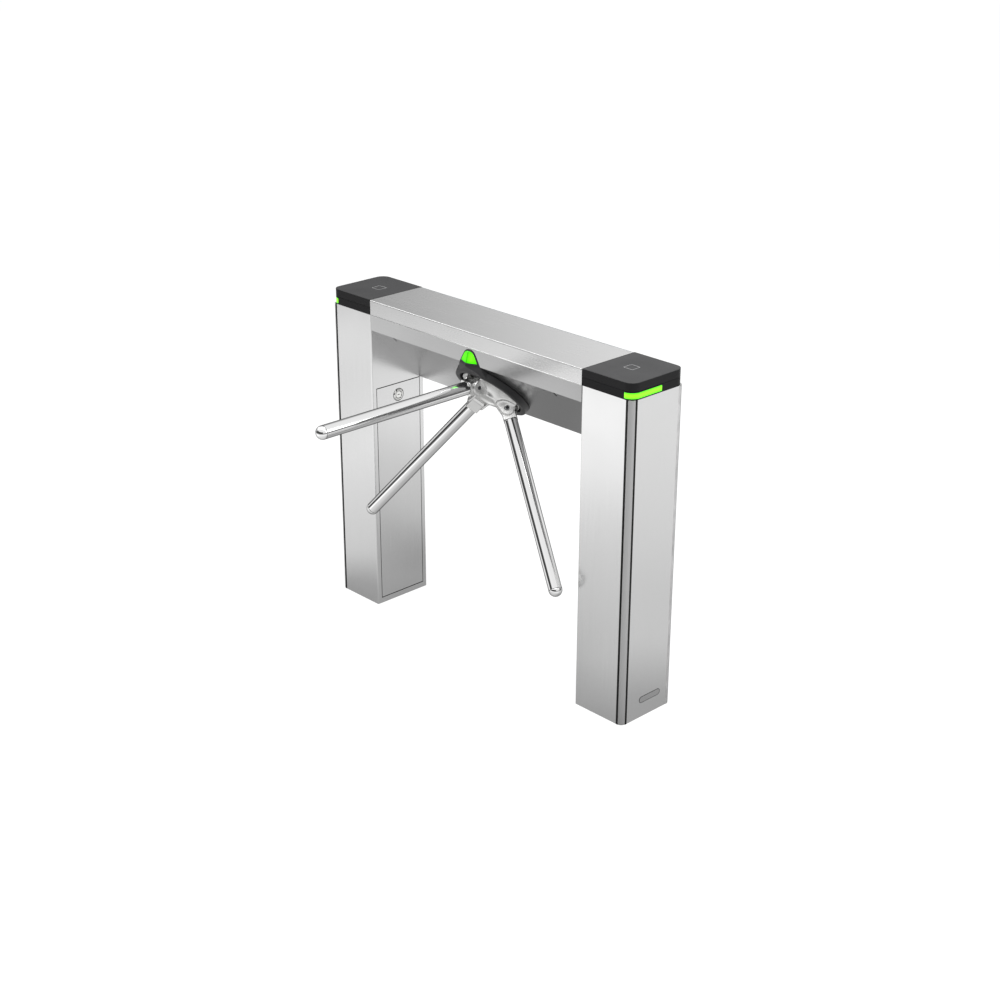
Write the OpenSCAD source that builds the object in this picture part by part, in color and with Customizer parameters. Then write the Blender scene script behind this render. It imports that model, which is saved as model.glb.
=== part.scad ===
// Tripod turnstile: a bridge-type cabinet of folded stainless sheet with a drop-arm rotor.
// X runs along the beam, -Y faces the lane, +Z is up. The origin is on the floor, midway between the posts.

/* [Cabinet] */
// Overall length, over the two posts
body_l = 1200; // [1150:10:1400]
// Overall width, from the lane side to the back
body_w = 200; // [196:1:230]
// Overall height, to the top of the caps and the beam
body_h = 980; // [960:1:1010]
// Length of each post along the beam
post_l = 175; // [170:1:190]
// Thickness of the stainless sheet
sheet_t = 2; // [1.5:0.1:2.5]
// Outer radius of the folds in the sheet
fold_r = 4; // [3:0.5:6]
// Radius of the round corner strips
corner_r = 17; // [15:0.5:19]
// Wall of the round corner strips
corner_t = 4; // [3:0.5:5]
// Length of the legs that hold a corner strip behind the panels
corner_leg = 18; // [12:1:24]
// Width of the dark groove beside each corner strip
groove_w = 4; // [2:0.1:5]

/* [Caps] */
// Height of a cap
cap_h = 45; // [42:1:50]
// Height of the lower half of a cap
cap_base_h = 22; // [21:0.5:24]
// Wall of both halves
cap_wall = 3; // [2.5:0.1:3.5]
// Radius of a cap's two outer corners
cap_corner_r = 28; // [20:1:34]
// Open seam between the two halves
cap_seam = 0.8; // [0.4:0.1:1]
// Height of the locating lip inside the seam
cap_lip_h = 6; // [4:0.5:8]
// Height of the light bar
light_h = 16; // [12:0.5:17]
// How far the light bar runs past the middle of the end face
light_past_middle = 12; // [0:1:30]
// Side of the square card reader module
reader_w = 86; // [70:1:100]
// Thickness of the card reader module
reader_h = 14; // [8:1:16]
// Shift of the reader from the post's middle, towards the beam
reader_shift = 8.5; // [0:0.5:12]

/* [Doors] */
// Width of an access door
door_w = 168; // [150:1:170]
// Height of the door's lower edge above the floor
door_lift = 18; // [16:1:30]
// Gap round the door
door_gap = 1; // [0.6:0.1:2]
// Depth of the door's folded edges
door_fold = 14.6; // [14:0.1:18]
// Depth of the lips round the door opening
lip_d = 12; // [10:0.5:13]
// Radius of the rounded feet that the door stands on
foot_r = 0.45; // [0.3:0.05:0.5]
// Width of a hook on the door's lower edge
hook_w = 20; // [12:1:30]
// Distance between the two hooks
hook_spread = 100; // [60:1:130]
// How far a hook reaches down
hook_drop = 8; // [5:0.5:12]
// Distance of the lock from the door's upper edge
lock_drop = 37; // [30:1:44]
// Radius of the lock's ring
lock_ring_r = 19; // [17:0.5:22]
// How far the ring stands out of the door
lock_ring_t = 2.5; // [1.5:0.1:4]
// Outer radius of the lock's sleeve
lock_sleeve_r = 13; // [12:0.5:15]
// Radius of the turning plug
lock_plug_r = 10; // [8:0.5:11]
// Length of the cam from the plug's axis
cam_l = 52; // [50:1:60]
// Width of the cam
cam_w = 16; // [10:1:20]
// Thickness of the cam
cam_t = 3; // [2:0.5:4]

/* [Beam] */
// Height of the beam's section
beam_h = 275; // [260:1:280]
// Height of the vertical strip between the lid and the slanted face
fascia_h = 46; // [40:1:52]
// Length of a slot in the slanted face
slot_l = 19; // [14:1:24]
// Width of a slot in the slanted face
slot_w = 5.5; // [4:0.5:8]
// Distance of each slot from the post beside it
slot_end = 102; // [60:1:200]
// Radius of the lid hinge's barrel
hinge_r = 4; // [3.5:0.5:5]
// Radius of the lid hinge's pin
hinge_pin_r = 2; // [1.5:0.1:2.5]
// Thickness of the hinge leaves
leaf_t = 1.5; // [1:0.1:2]
// Width of the hinge leaves
leaf_w = 22; // [15:1:30]
// Number of knuckles on the lid hinge, an odd number
knuckles = 17; // [9:2:21]
// Radius of the cable passages between the beam and the posts
passage_r = 30; // [20:1:36]

/* [Base plates] */
// Thickness of a base plate
plate_t = 6; // [5:0.5:10]
// Radius of an anchor hole
anchor_r = 6.5; // [5:0.5:9]
// Distance between the two rows of anchor holes, across the body
anchor_w = 140; // [110:1:150]
// Distance between the anchor holes of one post, along the body
anchor_l = 100; // [80:1:110]
// Radius of the cable entry
entry_r = 30; // [20:1:36]

/* [Rotor] */
// Distance of the rotor's axis down the slanted face from its upper edge
hub_drop = 127.3; // [120:0.1:132]
// Distance of each arm's pivot from the rotor's axis
pivot_r = 70; // [68:0.5:72]
// Distance of each arm's pivot out from the slanted face
pivot_out = 37; // [36:0.5:40]
// Length of an arm from its pivot to its tip
arm_l = 547.6; // [450:1:560]
// Outer radius of an arm's tube
arm_r = 19; // [16:0.5:19]
// Wall of an arm's tube
arm_wall = 1.5; // [1.2:0.1:2.5]
// Length of an arm's root from the pivot to the tube
root_l = 30; // [26:1:36]
// Height of the root's square collar
root_h = 40; // [38:0.5:41]
// Radius of the pivot pins
pivot_pin_r = 6; // [5:0.5:8]
// Half the gap of a fork
fork_half = 19.5; // [19.3:0.1:20]
// Thickness of a fork's cheek
cheek_t = 5.5; // [4:0.5:7]
// Radius of a cheek's round end
cheek_r = 21; // [19:0.5:22]
// Radius of the head's base disc
disc_r = 92; // [90:0.5:94]

/* [Shroud] */
// Outer radius of the shroud at its rim
shroud_r = 114; // [112:0.5:118]
// Radius of the recess that the head sits in
recess_r = 99; // [98:0.5:101]
// Height of the rim above the slanted face
rim_h = 19; // [16:0.5:20]
// How much wider the shroud is at its foot
shroud_flare = 3; // [0:0.5:5]
// Half the width of the fin where it crosses the upper edge of the slanted face
fin_half_w = 41; // [36:0.5:44]
// Height of the fin above that edge
fin_h = 43; // [38:0.5:44]
// How far the fin's ridge stands out of the vertical strip
fin_out = 17; // [12:0.5:20]

/* [Mechanism] */
// Length of the mounting plate along the beam
mount_l = 370; // [350:1:420]
// Width of the mounting plate down the slope
mount_w = 200; // [180:1:210]
// Thickness of the mounting plate
mount_t = 6; // [5:0.5:8]
// Radius of the drive shaft
shaft_r = 17.5; // [15:0.5:18]
// Outer radius of the shaft bearings
bearing_r = 36; // [33:0.5:38]
// Width of a shaft bearing
bearing_w = 17; // [14:0.5:18]
// Outer radius of the bearing housing's body
housing_r = 46; // [43:0.5:50]
// Radius of the index wheel
index_r = 66; // [62:0.5:67]
// Thickness of the index wheel
index_t = 9; // [6:0.5:9.5]
// Number of notches in the index wheel
notches = 6; // [6:6:6]
// Depth of a notch
notch_d = 10; // [8:0.5:12]
// Module of the damper gears
gear_m = 2; // [2:0.5:2]
// Teeth of the gear on the shaft
gear_teeth = 36; // [30:2:38]
// Teeth of the damper's pinion
pinion_teeth = 18; // [18:1:20]
// Thickness of the damper gears
gear_t = 7; // [5:0.5:8]
// Radius of the rotary damper's body
damper_r = 25; // [20:0.5:27]
// Length of the rotary damper's body
damper_l = 18; // [14:0.5:20]
// Swing of a locking pawl between released and engaged, in degrees
pawl_swing = 16; // [15.5:0.5:17]

/* [Hidden] */
$fn = 48;

// General clearances and cuts
over = 1;
run_gap = 0.05;
fit_gap = 0.3;
slide_gap = 0.6;
root2 = sqrt(2);

// Body
half_l = body_l / 2;
half_w = body_w / 2;
post_in = half_l - post_l;
post_mid = half_l - post_l / 2;
post_h = body_h - cap_h;
panel_end = half_l - corner_r - groove_w;
inner_fold_r = fold_r - sheet_t;

// Beam section: y and z of its corners
beam_z = body_h - beam_h;
break_z = post_h - fascia_h;
slope_sum = break_z - half_w;
slope_end_y = slope_sum - beam_z;
mitre = sheet_t * (root2 - 1);
lid_gap = 0.4;
lid_side_gap = 0.8;
end_plate_t = 3;
hinge_y = half_w - hinge_r;
hinge_z = body_h - hinge_r;
knuckle_gap = 0.4;
barrel_gap = 0.5;
port_y = 40;
port_drop = 100;
port_z = body_h - port_drop;
end_bolt_r = 4.5;
end_bolt_y = 52;
end_bolt_z = 44;

// Doors: the upper edge lies just under the beam's lower edge
door_h = beam_z - door_gap - door_lift;
lock_z = door_lift + door_h - lock_drop;
key_slot_d = 3;
cam_gap = 1;
foot_x = post_in + 2 * foot_r;
foot_z = door_lift - door_gap + foot_r + run_gap;

// Base plates
plate_gap = 0.5;
plate_inset = corner_t + plate_gap;
wall_gap = 0.3;

// Hub frame: its Z axis is the rotor's axis and points out of the slanted face
hub_tilt = 135;
hub_y = -half_w + hub_drop / root2;
hub_z = break_z - hub_drop / root2;
arm_tilt = 45;
arm_count = 3;

// Rotor head
head_foot = 10;
disc_top = 15;
rim_radius = 43;
rim_out = 41;
rim_flat = 10;
lip_h = 1.5;
lip_w = 3;
scoop_r = rim_out - disc_top;
dish_out = 34;
dish_r = 27;
slot_lift = 0.5;
slot_floor = disc_top + slot_lift;
slot_back_gap = 2.5;
slot_inner_r = pivot_r - arm_r - slot_back_gap;
fold_gap = 2.7;
fold_clear = pivot_r + pivot_out - root_h / root2 - fold_gap;
slot_reach = 160;
cheek_inner_r = 29;
cheek_inner_out = 41;
cheek_shoulder = 10;
cheek_shoulder_out = 18.5;
cheek_foot = 4;
pin_recess = 0.5;
root_side = fork_half - fit_gap;
root_edge = 3;
spigot_l = 40;
root_bore_r = pivot_pin_r + run_gap;

// Shroud
shroud_floor = 3;
shroud_bore_r = 42;
rim_edge = 3;
recess_edge = 2;
fin_top_r = 28;
fin_side_angle = 30;
fin_ridge_r = 1.5;
fin_rim = 4.5;
fin_lens_lift = 7;
lens_gap = 0.15;
lens_back = 2;
ridge_foot_z = -1;
ridge_top_drop = 8;
ridge_top_share = 0.35;
neck_half_w = 58;
neck_inner_r = 88;

// Drive shaft and housing, as distances behind the slanted face
shaft_hole_r = 30;
mount_bore_r = 32;
mount_corner_r = 12;
mount_back = sheet_t + mount_t;
flange_r = 38;
flange_front = head_foot;
flange_back = 2;
shoulder_r = 21;
housing_flange_r = 62;
housing_flange_t = 10;
housing_lip = 6;
housing_lip_r = 24;
bearing_spacing = 14;
bearing_shoulder_r = 30;
housing_tail = 4;
bearing_1 = mount_back + housing_lip;
bearing_2 = bearing_1 + bearing_w + bearing_spacing;
housing_back = bearing_2 + bearing_w + housing_tail;
index_front = housing_back + 4;
index_hub_r = 27;
index_hub_t = 2;
gear_front = index_front + index_t + 3;
gear_back = gear_front + gear_t;
shaft_back = gear_back + 3;

// Release rod and its solenoid
rod_r = 4;
rod_travel = 6;
rod_front = 28;
rod_room = 3;
rod_depth = 10;
drop_solenoid_r = 17;
drop_solenoid_l = 28;

// Bridge plate and its posts
bridge_front = shaft_back + 2;
bridge_t = 4;
bridge_back = bridge_front + bridge_t;
bridge_half_l = 108;
bridge_up = 82;
bridge_down = 46;
bridge_corner_r = 10;
lower_post_x = 96;
lower_post_y = -38;
bridge_post_r = 6;
pawl_post_r = 5;

// Pawls, in the plane of the index wheel
pawl_x = 74;
pawl_y = 40;
pawl_hub_r = 10;
pawl_t = 8;
pawl_front = index_front + (index_t - pawl_t) / 2;
pawl_back = pawl_front + pawl_t;
notch_half = 6;
notch_flare = 3;
nose_half = 4.2;
nose_gap = 1.5;
nose_reach = pawl_x - (index_r - notch_d) - nose_gap;
pawl_foot_x = 4;
pawl_foot_y = -60;
pawl_foot_r = 6;
pawl_neck = 5;
nose_rise = 6;
link_pin_r = 2.5;
link_pin_l = 8.5;

// Plungers and their solenoids
link_x = pawl_x + pawl_foot_x * cos(pawl_swing) - pawl_foot_y * sin(pawl_swing);
link_y = pawl_y + (pawl_foot_y + pawl_foot_y * cos(pawl_swing) + pawl_foot_x * sin(pawl_swing)) / 2;
link_rise = 5;
link_out = pawl_back + link_rise;
eye_half_x = 8;
eye_half_y = 9;
eye_t = 6;
eye_slot_half = 2.8;
eye_slot_reach = 5;
plunger_r = 5;
plunger_l = 56;
solenoid_x = 118;
solenoid_l = 54;
solenoid_w = 34;
solenoid_bore_l = 46;
coil_inset = 4;
yoke_t = 3;
bracket_t = 3;
bracket_w = 30;
bracket_foot = 32;
bracket_x = 128;
bracket_seat = 38;

// Damper gears
gear_r = gear_m * gear_teeth / 2;
pinion_r = gear_m * pinion_teeth / 2;
gear_centres = gear_r + pinion_r;
pressure = 20;
backlash_share = 0.07;
dedendum_share = 1.25;
damper_shaft_r = 4;
damper_shaft_l = 10;
gear_boss_r = 25;
damper_ear_r = 6;
damper_ear_t = 3;

// Position sensors
sensor_r = 4;
sensor_l = 32;
sensor_gap = 1.2;
sensor_pitch = 22;
sensor_bracket_y = 89;
sensor_bracket_t = 3;
sensor_bracket_half = 20;
sensor_bracket_back = 84;
sensor_foot = 14;

// Electronics
supply_l = 160;
supply_w = 98;
supply_t = 40;
supply_z = 120;
vent_count = 6;
vent_l = 58;
vent_pitch = 23;
board_w = 110;
board_h = 170;
board_t = 1.6;
board_z = 300;
standoff_h = 7;
standoff_r = 3.5;
standoff_inset = 8;
relay_count = 4;
relay_w = 18;
relay_l = 21;
relay_h = 14;
relay_pitch = 34;
relay_z = 21;
chip_w = 36;
chip_l = 42;
chip_h = 7;
chip_z = 42;
terminal_y = 92;
terminal_w = 12;
terminal_l = 128;
terminal_h = 10.5;

steel = [0.76, 0.77, 0.78];
steel_dark = [0.62, 0.63, 0.64];
charcoal = [0.17, 0.17, 0.18];
cap_top = [0.3, 0.3, 0.31];
green = [0.45, 1, 0.1];
cast = [0.8, 0.81, 0.82];
chrome = [0.9, 0.91, 0.92];
black = [0.1, 0.1, 0.1];
brass = [0.8, 0.65, 0.3];
board_green = [0.1, 0.4, 0.2];

// Points of an arc round c, from angle a0 to angle a1
function arc(c, r, a0, a1, n = 8) =
    [for (i = [0:n]) c + r * [cos(a0 + (a1 - a0) * i / n), sin(a0 + (a1 - a0) * i / n)]];

// The left and right halves of the body mirror each other
module left() {
    mirror([1, 0, 0]) children();
}

// Both sides of a symmetric pair
module both_sides() {
    children();
    mirror([1, 0, 0]) children();
}

// Turns a section drawn in y and z into a bar of length l along x, centred
module along_x(l) {
    rotate([90, 0, 90]) linear_extrude(l, center = true) children();
}

// Places things drawn round the rotor's axis
module hub_frame() {
    translate([0, hub_y, hub_z]) rotate([hub_tilt, 0, 0]) children();
}

// Plan outline of a box whose corners are round on its low-x side
module round_left(x0, x1, hw, r) {
    translate([x0 + r, -hw]) square([x1 - x0 - r, 2 * hw]);
    translate([x0, -hw + r]) square([x1 - x0, 2 * (hw - r)]);
    for (s = [-1, 1]) translate([x0 + r, s * (hw - r)]) circle(r);
}

// Plan outline of a box whose corners are round on its high-x side
module round_right(x0, x1, hw, r) {
    translate([x0, -hw]) square([x1 - x0 - r, 2 * hw]);
    translate([x0, -hw + r]) square([x1 - x0, 2 * (hw - r)]);
    for (s = [-1, 1]) translate([x1 - r, s * (hw - r)]) circle(r);
}

// Rounded rectangle from x0, y0 to x1, y1
module round_rect(x0, y0, x1, y1, r) {
    translate([x0 + r, y0]) square([x1 - x0 - 2 * r, y1 - y0]);
    translate([x0, y0 + r]) square([x1 - x0, y1 - y0 - 2 * r]);
    for (x = [x0 + r, x1 - r], y = [y0 + r, y1 - r]) translate([x, y]) circle(r);
}

// Base plates with their anchor holes and cable entry
module base_plate() {
    color(steel_dark) difference() {
        linear_extrude(plate_t)
            round_right(post_in + sheet_t + wall_gap, half_l - plate_inset, half_w - plate_inset, corner_r - plate_inset);
        for (x = [-1, 1], y = [-1, 1])
            translate([post_mid + x * anchor_l / 2, y * anchor_w / 2, -over])
                cylinder(h = plate_t + 2 * over, r = anchor_r);
        translate([post_mid, 0, -over]) cylinder(h = plate_t + 2 * over, r = entry_r);
    }
}

// Door opening in the inner face of a post, grown by d and cut from depth x0 to x1
module opening_block(d, x0, x1) {
    translate([post_in + x0, -door_w / 2 - door_gap - d, door_lift - door_gap - d])
        cube([x1 - x0, door_w + 2 * (door_gap + d), door_h + 2 * (door_gap + d)]);
}

// Shell of a post: one sheet folded round the front, the inner face and the back
module post_shell() {
    color(steel) difference() {
        union() {
            linear_extrude(post_h) difference() {
                round_left(post_in, panel_end, half_w, fold_r);
                round_left(post_in + sheet_t, panel_end + over, half_w - sheet_t, inner_fold_r);
            }
            opening_block(sheet_t, sheet_t / 2, lip_d);
        }
        opening_block(0, -over, lip_d + over);
        beam_holes();
    }
}

// Cable passage and bolt holes where the beam meets a post
module beam_holes() {
    translate([post_in, port_y, port_z]) rotate([0, 90, 0])
        cylinder(h = 4 * end_plate_t, r = passage_r, center = true);
    for (y = [-1, 1], z = [-1, 1]) translate([post_in, port_y + y * end_bolt_y / 2, port_z + z * end_bolt_z])
        rotate([0, 90, 0]) cylinder(h = 4 * end_plate_t, r = end_bolt_r, center = true);
}

// Flat panel on a post's outer end
module end_panel() {
    color(steel) translate([half_l - sheet_t, -half_w + corner_r + groove_w, 0])
        cube([sheet_t, body_w - 2 * (corner_r + groove_w), post_h]);
}

// Round corner strip whose legs run behind the panels
module corner_strip() {
    cx = half_l - corner_r;
    cy = -half_w + corner_r;
    linear_extrude(post_h) {
        intersection() {
            translate([cx, cy]) difference() {
                circle(corner_r);
                circle(corner_r - corner_t);
            }
            translate([cx, cy - corner_r]) square(corner_r);
        }
        translate([cx - corner_leg, -half_w + sheet_t]) square([corner_leg, corner_t - sheet_t]);
        translate([half_l - corner_t, cy]) square([corner_t - sheet_t, corner_leg]);
    }
}

// All four corner strips
module corner_strips() {
    color(steel) both_sides() {
        corner_strip();
        mirror([0, 1, 0]) corner_strip();
    }
}

// Access door: a tray with folded edges and two hooks at its foot
module door() {
    color(steel) difference() {
        union() {
            difference() {
                translate([post_in, -door_w / 2, door_lift]) cube([door_fold, door_w, door_h]);
                translate([post_in + sheet_t, -door_w / 2 + sheet_t, door_lift + sheet_t])
                    cube([door_fold, door_w - 2 * sheet_t, door_h - 2 * sheet_t]);
            }
            for (y = [-1, 1])
                translate([post_in + door_fold - sheet_t, y * hook_spread / 2 - hook_w / 2, door_lift - hook_drop])
                    cube([sheet_t, hook_w, hook_drop + sheet_t]);
            for (y = [-1, 1]) translate([foot_x, y * hook_spread / 2, foot_z]) {
                rotate([90, 0, 0]) cylinder(h = hook_w, r = foot_r, center = true);
                translate([-foot_r, -hook_w / 2, 0]) cube([2 * foot_r, hook_w, sheet_t]);
            }
        }
        translate([post_in - over, 0, lock_z])
            rotate([0, 90, 0]) cylinder(h = door_fold, r = lock_sleeve_r + run_gap);
    }
}

// Ring and sleeve of the door lock
module lock_ring() {
    color(chrome) translate([post_in, 0, lock_z]) rotate([0, 90, 0]) difference() {
        union() {
            translate([0, 0, -lock_ring_t]) cylinder(h = lock_ring_t, r = lock_ring_r);
            cylinder(h = door_fold, r = lock_sleeve_r);
            translate([0, 0, sheet_t]) cylinder(h = 2 * sheet_t, r = lock_ring_r - sheet_t, $fn = 6);
        }
        translate([0, 0, -lock_ring_t - over])
            cylinder(h = door_fold + lock_ring_t + 2 * over, r = lock_plug_r + run_gap);
    }
}

// Turning plug of the door lock, with its key slot and its cam
module lock_plug() {
    cam_x = door_fold + cam_gap;
    color(black) translate([post_in, 0, lock_z]) difference() {
        union() {
            translate([-lock_ring_t / 2, 0, 0]) rotate([0, 90, 0])
                cylinder(h = lock_ring_t / 2 + cam_x + cam_t, r = lock_plug_r);
            translate([cam_x, 0, -cam_w / 2]) cube([cam_t, cam_l, cam_w]);
        }
        translate([-lock_ring_t, -lock_plug_r / 2, -key_slot_d / 4])
            cube([lock_ring_t / 2 + key_slot_d, lock_plug_r, key_slot_d / 2]);
    }
}

// Plan outline of a cap, drawn in by d
module cap_outline(d) {
    round_right(post_in + d, half_l - d, half_w - d, cap_corner_r - d);
}

// Region of the cap's wall that the light bar takes
module light_region(d) {
    translate([half_l - cap_corner_r + d, -half_w - over])
        square([cap_corner_r + over, half_w + light_past_middle + over - 2 * d]);
}

// Lower half of a cap
module cap_base() {
    color(charcoal) translate([0, 0, post_h]) difference() {
        union() {
            linear_extrude(cap_base_h) cap_outline(0);
            linear_extrude(cap_base_h + cap_lip_h) cap_outline(cap_wall + fit_gap);
        }
        translate([0, 0, cap_wall]) linear_extrude(cap_base_h + cap_lip_h)
            cap_outline(cap_wall + fit_gap + sheet_t);
        translate([0, 0, cap_wall]) linear_extrude(light_h) light_region(0);
        translate([post_mid, 0, -over]) cylinder(h = cap_wall + 2 * over, r = passage_r);
    }
}

// Upper half of a cap
module cap_cover() {
    color(cap_top) translate([0, 0, post_h]) difference() {
        translate([0, 0, cap_base_h + cap_seam]) linear_extrude(cap_h - cap_base_h - cap_seam) cap_outline(0);
        translate([0, 0, cap_base_h]) linear_extrude(cap_h - cap_base_h - cap_wall) cap_outline(cap_wall);
    }
}

// Light bar that wraps a cap's front outer corner
module light_bar() {
    color(green) translate([0, 0, post_h + cap_wall + lens_gap])
        linear_extrude(light_h - 2 * lens_gap) intersection() {
        difference() {
            cap_outline(0);
            cap_outline(cap_wall + fit_gap + sheet_t);
        }
        light_region(lens_gap);
    }
}

// Card reader modules under the cap covers
module card_readers() {
    color(black) both_sides()
        translate([post_mid - reader_shift - reader_w / 2, -reader_w / 2, body_h - cap_wall - reader_h])
            cube([reader_w, reader_w, reader_h]);
}

// Front sheet of the beam: vertical strip, slanted face and bottom return in one folded piece
module beam_front() {
    color(steel) difference() {
        along_x(2 * post_in) polygon([
            [-half_w, post_h],
            [-half_w, break_z],
            [slope_end_y, beam_z],
            [half_w - sheet_t, beam_z],
            [half_w - sheet_t, beam_z + sheet_t],
            [slope_end_y + mitre, beam_z + sheet_t],
            [-half_w + sheet_t, break_z + mitre],
            [-half_w + sheet_t, post_h]
        ]);
        hub_frame() cylinder(h = 4 * sheet_t, r = shaft_hole_r, center = true);
        for (x = [-1, 1]) hub_frame() translate([x * (post_in - slot_end), hub_drop - slot_l / 2, 0])
            linear_extrude(4 * sheet_t, center = true) {
                square([slot_w, slot_l - slot_w], center = true);
                for (y = [-1, 1]) translate([0, y * (slot_l - slot_w) / 2]) circle(slot_w / 2);
            }
    }
}

// Rear sheet of the beam
module beam_rear() {
    color(steel) translate([-post_in, half_w - sheet_t, beam_z])
        cube([2 * post_in, sheet_t, hinge_z - hinge_r - barrel_gap - beam_z]);
}

// End plates that bolt the beam to the posts
module beam_end_plates() {
    inset = sheet_t + wall_gap;
    color(steel_dark) difference() {
        for (s = [-1, 1]) translate([s * (post_in - end_plate_t / 2), 0, 0]) along_x(end_plate_t) polygon([
            [-half_w + inset, post_h - inset],
            [-half_w + inset, break_z + inset * (root2 - 1)],
            [slope_end_y + inset * (root2 - 1), beam_z + inset],
            [half_w - inset, beam_z + inset],
            [half_w - inset, post_h - inset]
        ]);
        both_sides() beam_holes();
    }
}

// Lid of the beam with its front skirt
module lid() {
    lid_r = fold_r - over;
    bend = [-half_w + lid_r, body_h - lid_r];
    color(steel) along_x(2 * (post_in - lid_side_gap)) polygon(concat(
        [[-half_w, post_h + lid_gap]],
        arc(bend, lid_r, 180, 90),
        [[hinge_y - hinge_r - barrel_gap, body_h], [hinge_y - hinge_r - barrel_gap, body_h - sheet_t]],
        arc(bend, lid_r - sheet_t, 90, 180),
        [[-half_w + sheet_t, post_h + lid_gap]]
    ));
}

// Knuckles of the lid hinge: every second one, starting from the given place
module hinge_knuckles(first) {
    pitch = 2 * (post_in - lid_side_gap) / knuckles;
    for (i = [first:2:knuckles - 1])
        translate([-post_in + lid_side_gap + i * pitch + knuckle_gap / 2, hinge_y, hinge_z])
            rotate([0, 90, 0]) cylinder(h = pitch - knuckle_gap, r = hinge_r);
}

// Bore of the lid hinge
module hinge_bore(r) {
    translate([0, hinge_y, hinge_z]) rotate([0, 90, 0])
        cylinder(h = 2 * (post_in + over), r = r, center = true);
}

// Tabs from a leaf to its knuckles, from y0, z0 with size w by h
module hinge_tabs(first, y0, z0, w, h) {
    pitch = 2 * (post_in - lid_side_gap) / knuckles;
    for (i = [first:2:knuckles - 1])
        translate([-post_in + lid_side_gap + i * pitch + knuckle_gap / 2, y0, z0])
            cube([pitch - knuckle_gap, w, h]);
}

// Leaf of the lid hinge under the lid
module lid_hinge_leaf() {
    leaf_z = body_h - sheet_t - leaf_t;
    leaf_end = hinge_y - hinge_r - barrel_gap;
    color(steel_dark) difference() {
        union() {
            translate([-post_in + lid_side_gap, leaf_end - leaf_w, leaf_z])
                cube([2 * (post_in - lid_side_gap), leaf_w, leaf_t]);
            hinge_knuckles(1);
            hinge_tabs(1, leaf_end - over, leaf_z, hinge_y - leaf_end + over, leaf_t);
        }
        hinge_bore(hinge_pin_r + run_gap);
    }
}

// Leaf of the lid hinge inside the rear sheet
module beam_hinge_leaf() {
    leaf_y = half_w - sheet_t - leaf_t;
    leaf_top = hinge_z - hinge_r - barrel_gap;
    color(steel_dark) difference() {
        union() {
            translate([-post_in + lid_side_gap, leaf_y, leaf_top - leaf_w])
                cube([2 * (post_in - lid_side_gap), leaf_t, leaf_w]);
            hinge_knuckles(0);
            hinge_tabs(0, leaf_y, leaf_top - over, leaf_t, hinge_z - leaf_top + over);
        }
        hinge_bore(hinge_pin_r + run_gap);
    }
}

// Pin of the lid hinge
module hinge_pin() {
    color(chrome) translate([0, hinge_y, hinge_z]) rotate([0, 90, 0])
        cylinder(h = 2 * (post_in - lid_side_gap), r = hinge_pin_r, center = true);
}

// Section of the round part of the shroud
module shroud_section() {
    polygon(concat(
        [[shroud_bore_r, 0], [shroud_r + shroud_flare, 0]],
        arc([shroud_r - rim_edge, rim_h - rim_edge], rim_edge, 0, 90, 4),
        arc([recess_r + recess_edge, rim_h - recess_edge], recess_edge, 90, 180, 3),
        [[recess_r, shroud_floor], [shroud_bore_r, shroud_floor]]
    ));
}

// Outline of the fin on the vertical strip, drawn in by d, above the upper edge of the slanted face
module fin_outline(d) {
    polygon(concat(
        [[fin_half_w - d, 0]],
        arc([0, fin_h - fin_top_r], fin_top_r - d, fin_side_angle, 180 - fin_side_angle, 10),
        [[-fin_half_w + d, 0]]
    ));
}

// Solid of the fin: its outline on the strip drawn together with a sloping ridge
module fin_solid() {
    hull() {
        translate([0, -half_w, break_z]) rotate([90, 0, 0]) linear_extrude(over) fin_outline(0);
        translate([0, -half_w - fin_out + fin_ridge_r, break_z + ridge_foot_z]) sphere(fin_ridge_r, $fn = 12);
        translate([0, -half_w - fin_out * ridge_top_share, break_z + fin_h - ridge_top_drop])
            sphere(fin_ridge_r, $fn = 12);
    }
}

// Block that cuts the lens out of the fin, smaller by d
module lens_block(d) {
    translate([0, -half_w - lens_back - d, break_z]) rotate([90, 0, 0]) linear_extrude(2 * fin_out)
        intersection() {
        fin_outline(fin_rim + d);
        translate([-fin_half_w, fin_lens_lift + d]) square([2 * fin_half_w, fin_h]);
    }
}

// Neck between the round rim and the foot of the fin
module fin_neck() {
    hull() {
        hub_frame() linear_extrude(rim_h - rim_edge / 2) intersection() {
            circle(shroud_r - rim_edge / 3);
            translate([-neck_half_w, neck_inner_r]) square([2 * neck_half_w, shroud_r]);
        }
        translate([-fin_half_w, -half_w - over, break_z - over]) cube([2 * fin_half_w, over, over]);
        translate([0, -half_w - fin_out + fin_ridge_r, break_z + ridge_foot_z]) sphere(fin_ridge_r, $fn = 12);
    }
}

// Dark shroud round the head, with the fin that holds the direction light
module shroud() {
    color(charcoal) difference() {
        union() {
            hub_frame() rotate_extrude($fn = 96) shroud_section();
            difference() {
                union() {
                    fin_neck();
                    fin_solid();
                }
                lens_block(0);
                hub_frame() translate([0, 0, shroud_floor]) cylinder(h = 2 * rim_h, r = recess_r, $fn = 96);
            }
        }
    }
}

// Two-sided green lens in the fin
module shroud_light() {
    color(green) intersection() {
        fin_solid();
        lens_block(lens_gap);
    }
}

// Cheek outline of a fork: x is the distance from the rotor's axis, y the distance out
module cheek_outline() {
    translate([pivot_r, pivot_out]) circle(cheek_r);
    polygon([
        [cheek_inner_r, head_foot],
        [disc_r - cheek_foot, head_foot],
        [pivot_r + cheek_r, pivot_out],
        [pivot_r - cheek_shoulder, pivot_out + cheek_shoulder_out],
        [cheek_inner_r, cheek_inner_out]
    ]);
}

// Repeats a thing for the three arms
module for_arms() {
    for (i = [0:arm_count - 1]) rotate([0, 0, i * 360 / arm_count]) children();
}

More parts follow.
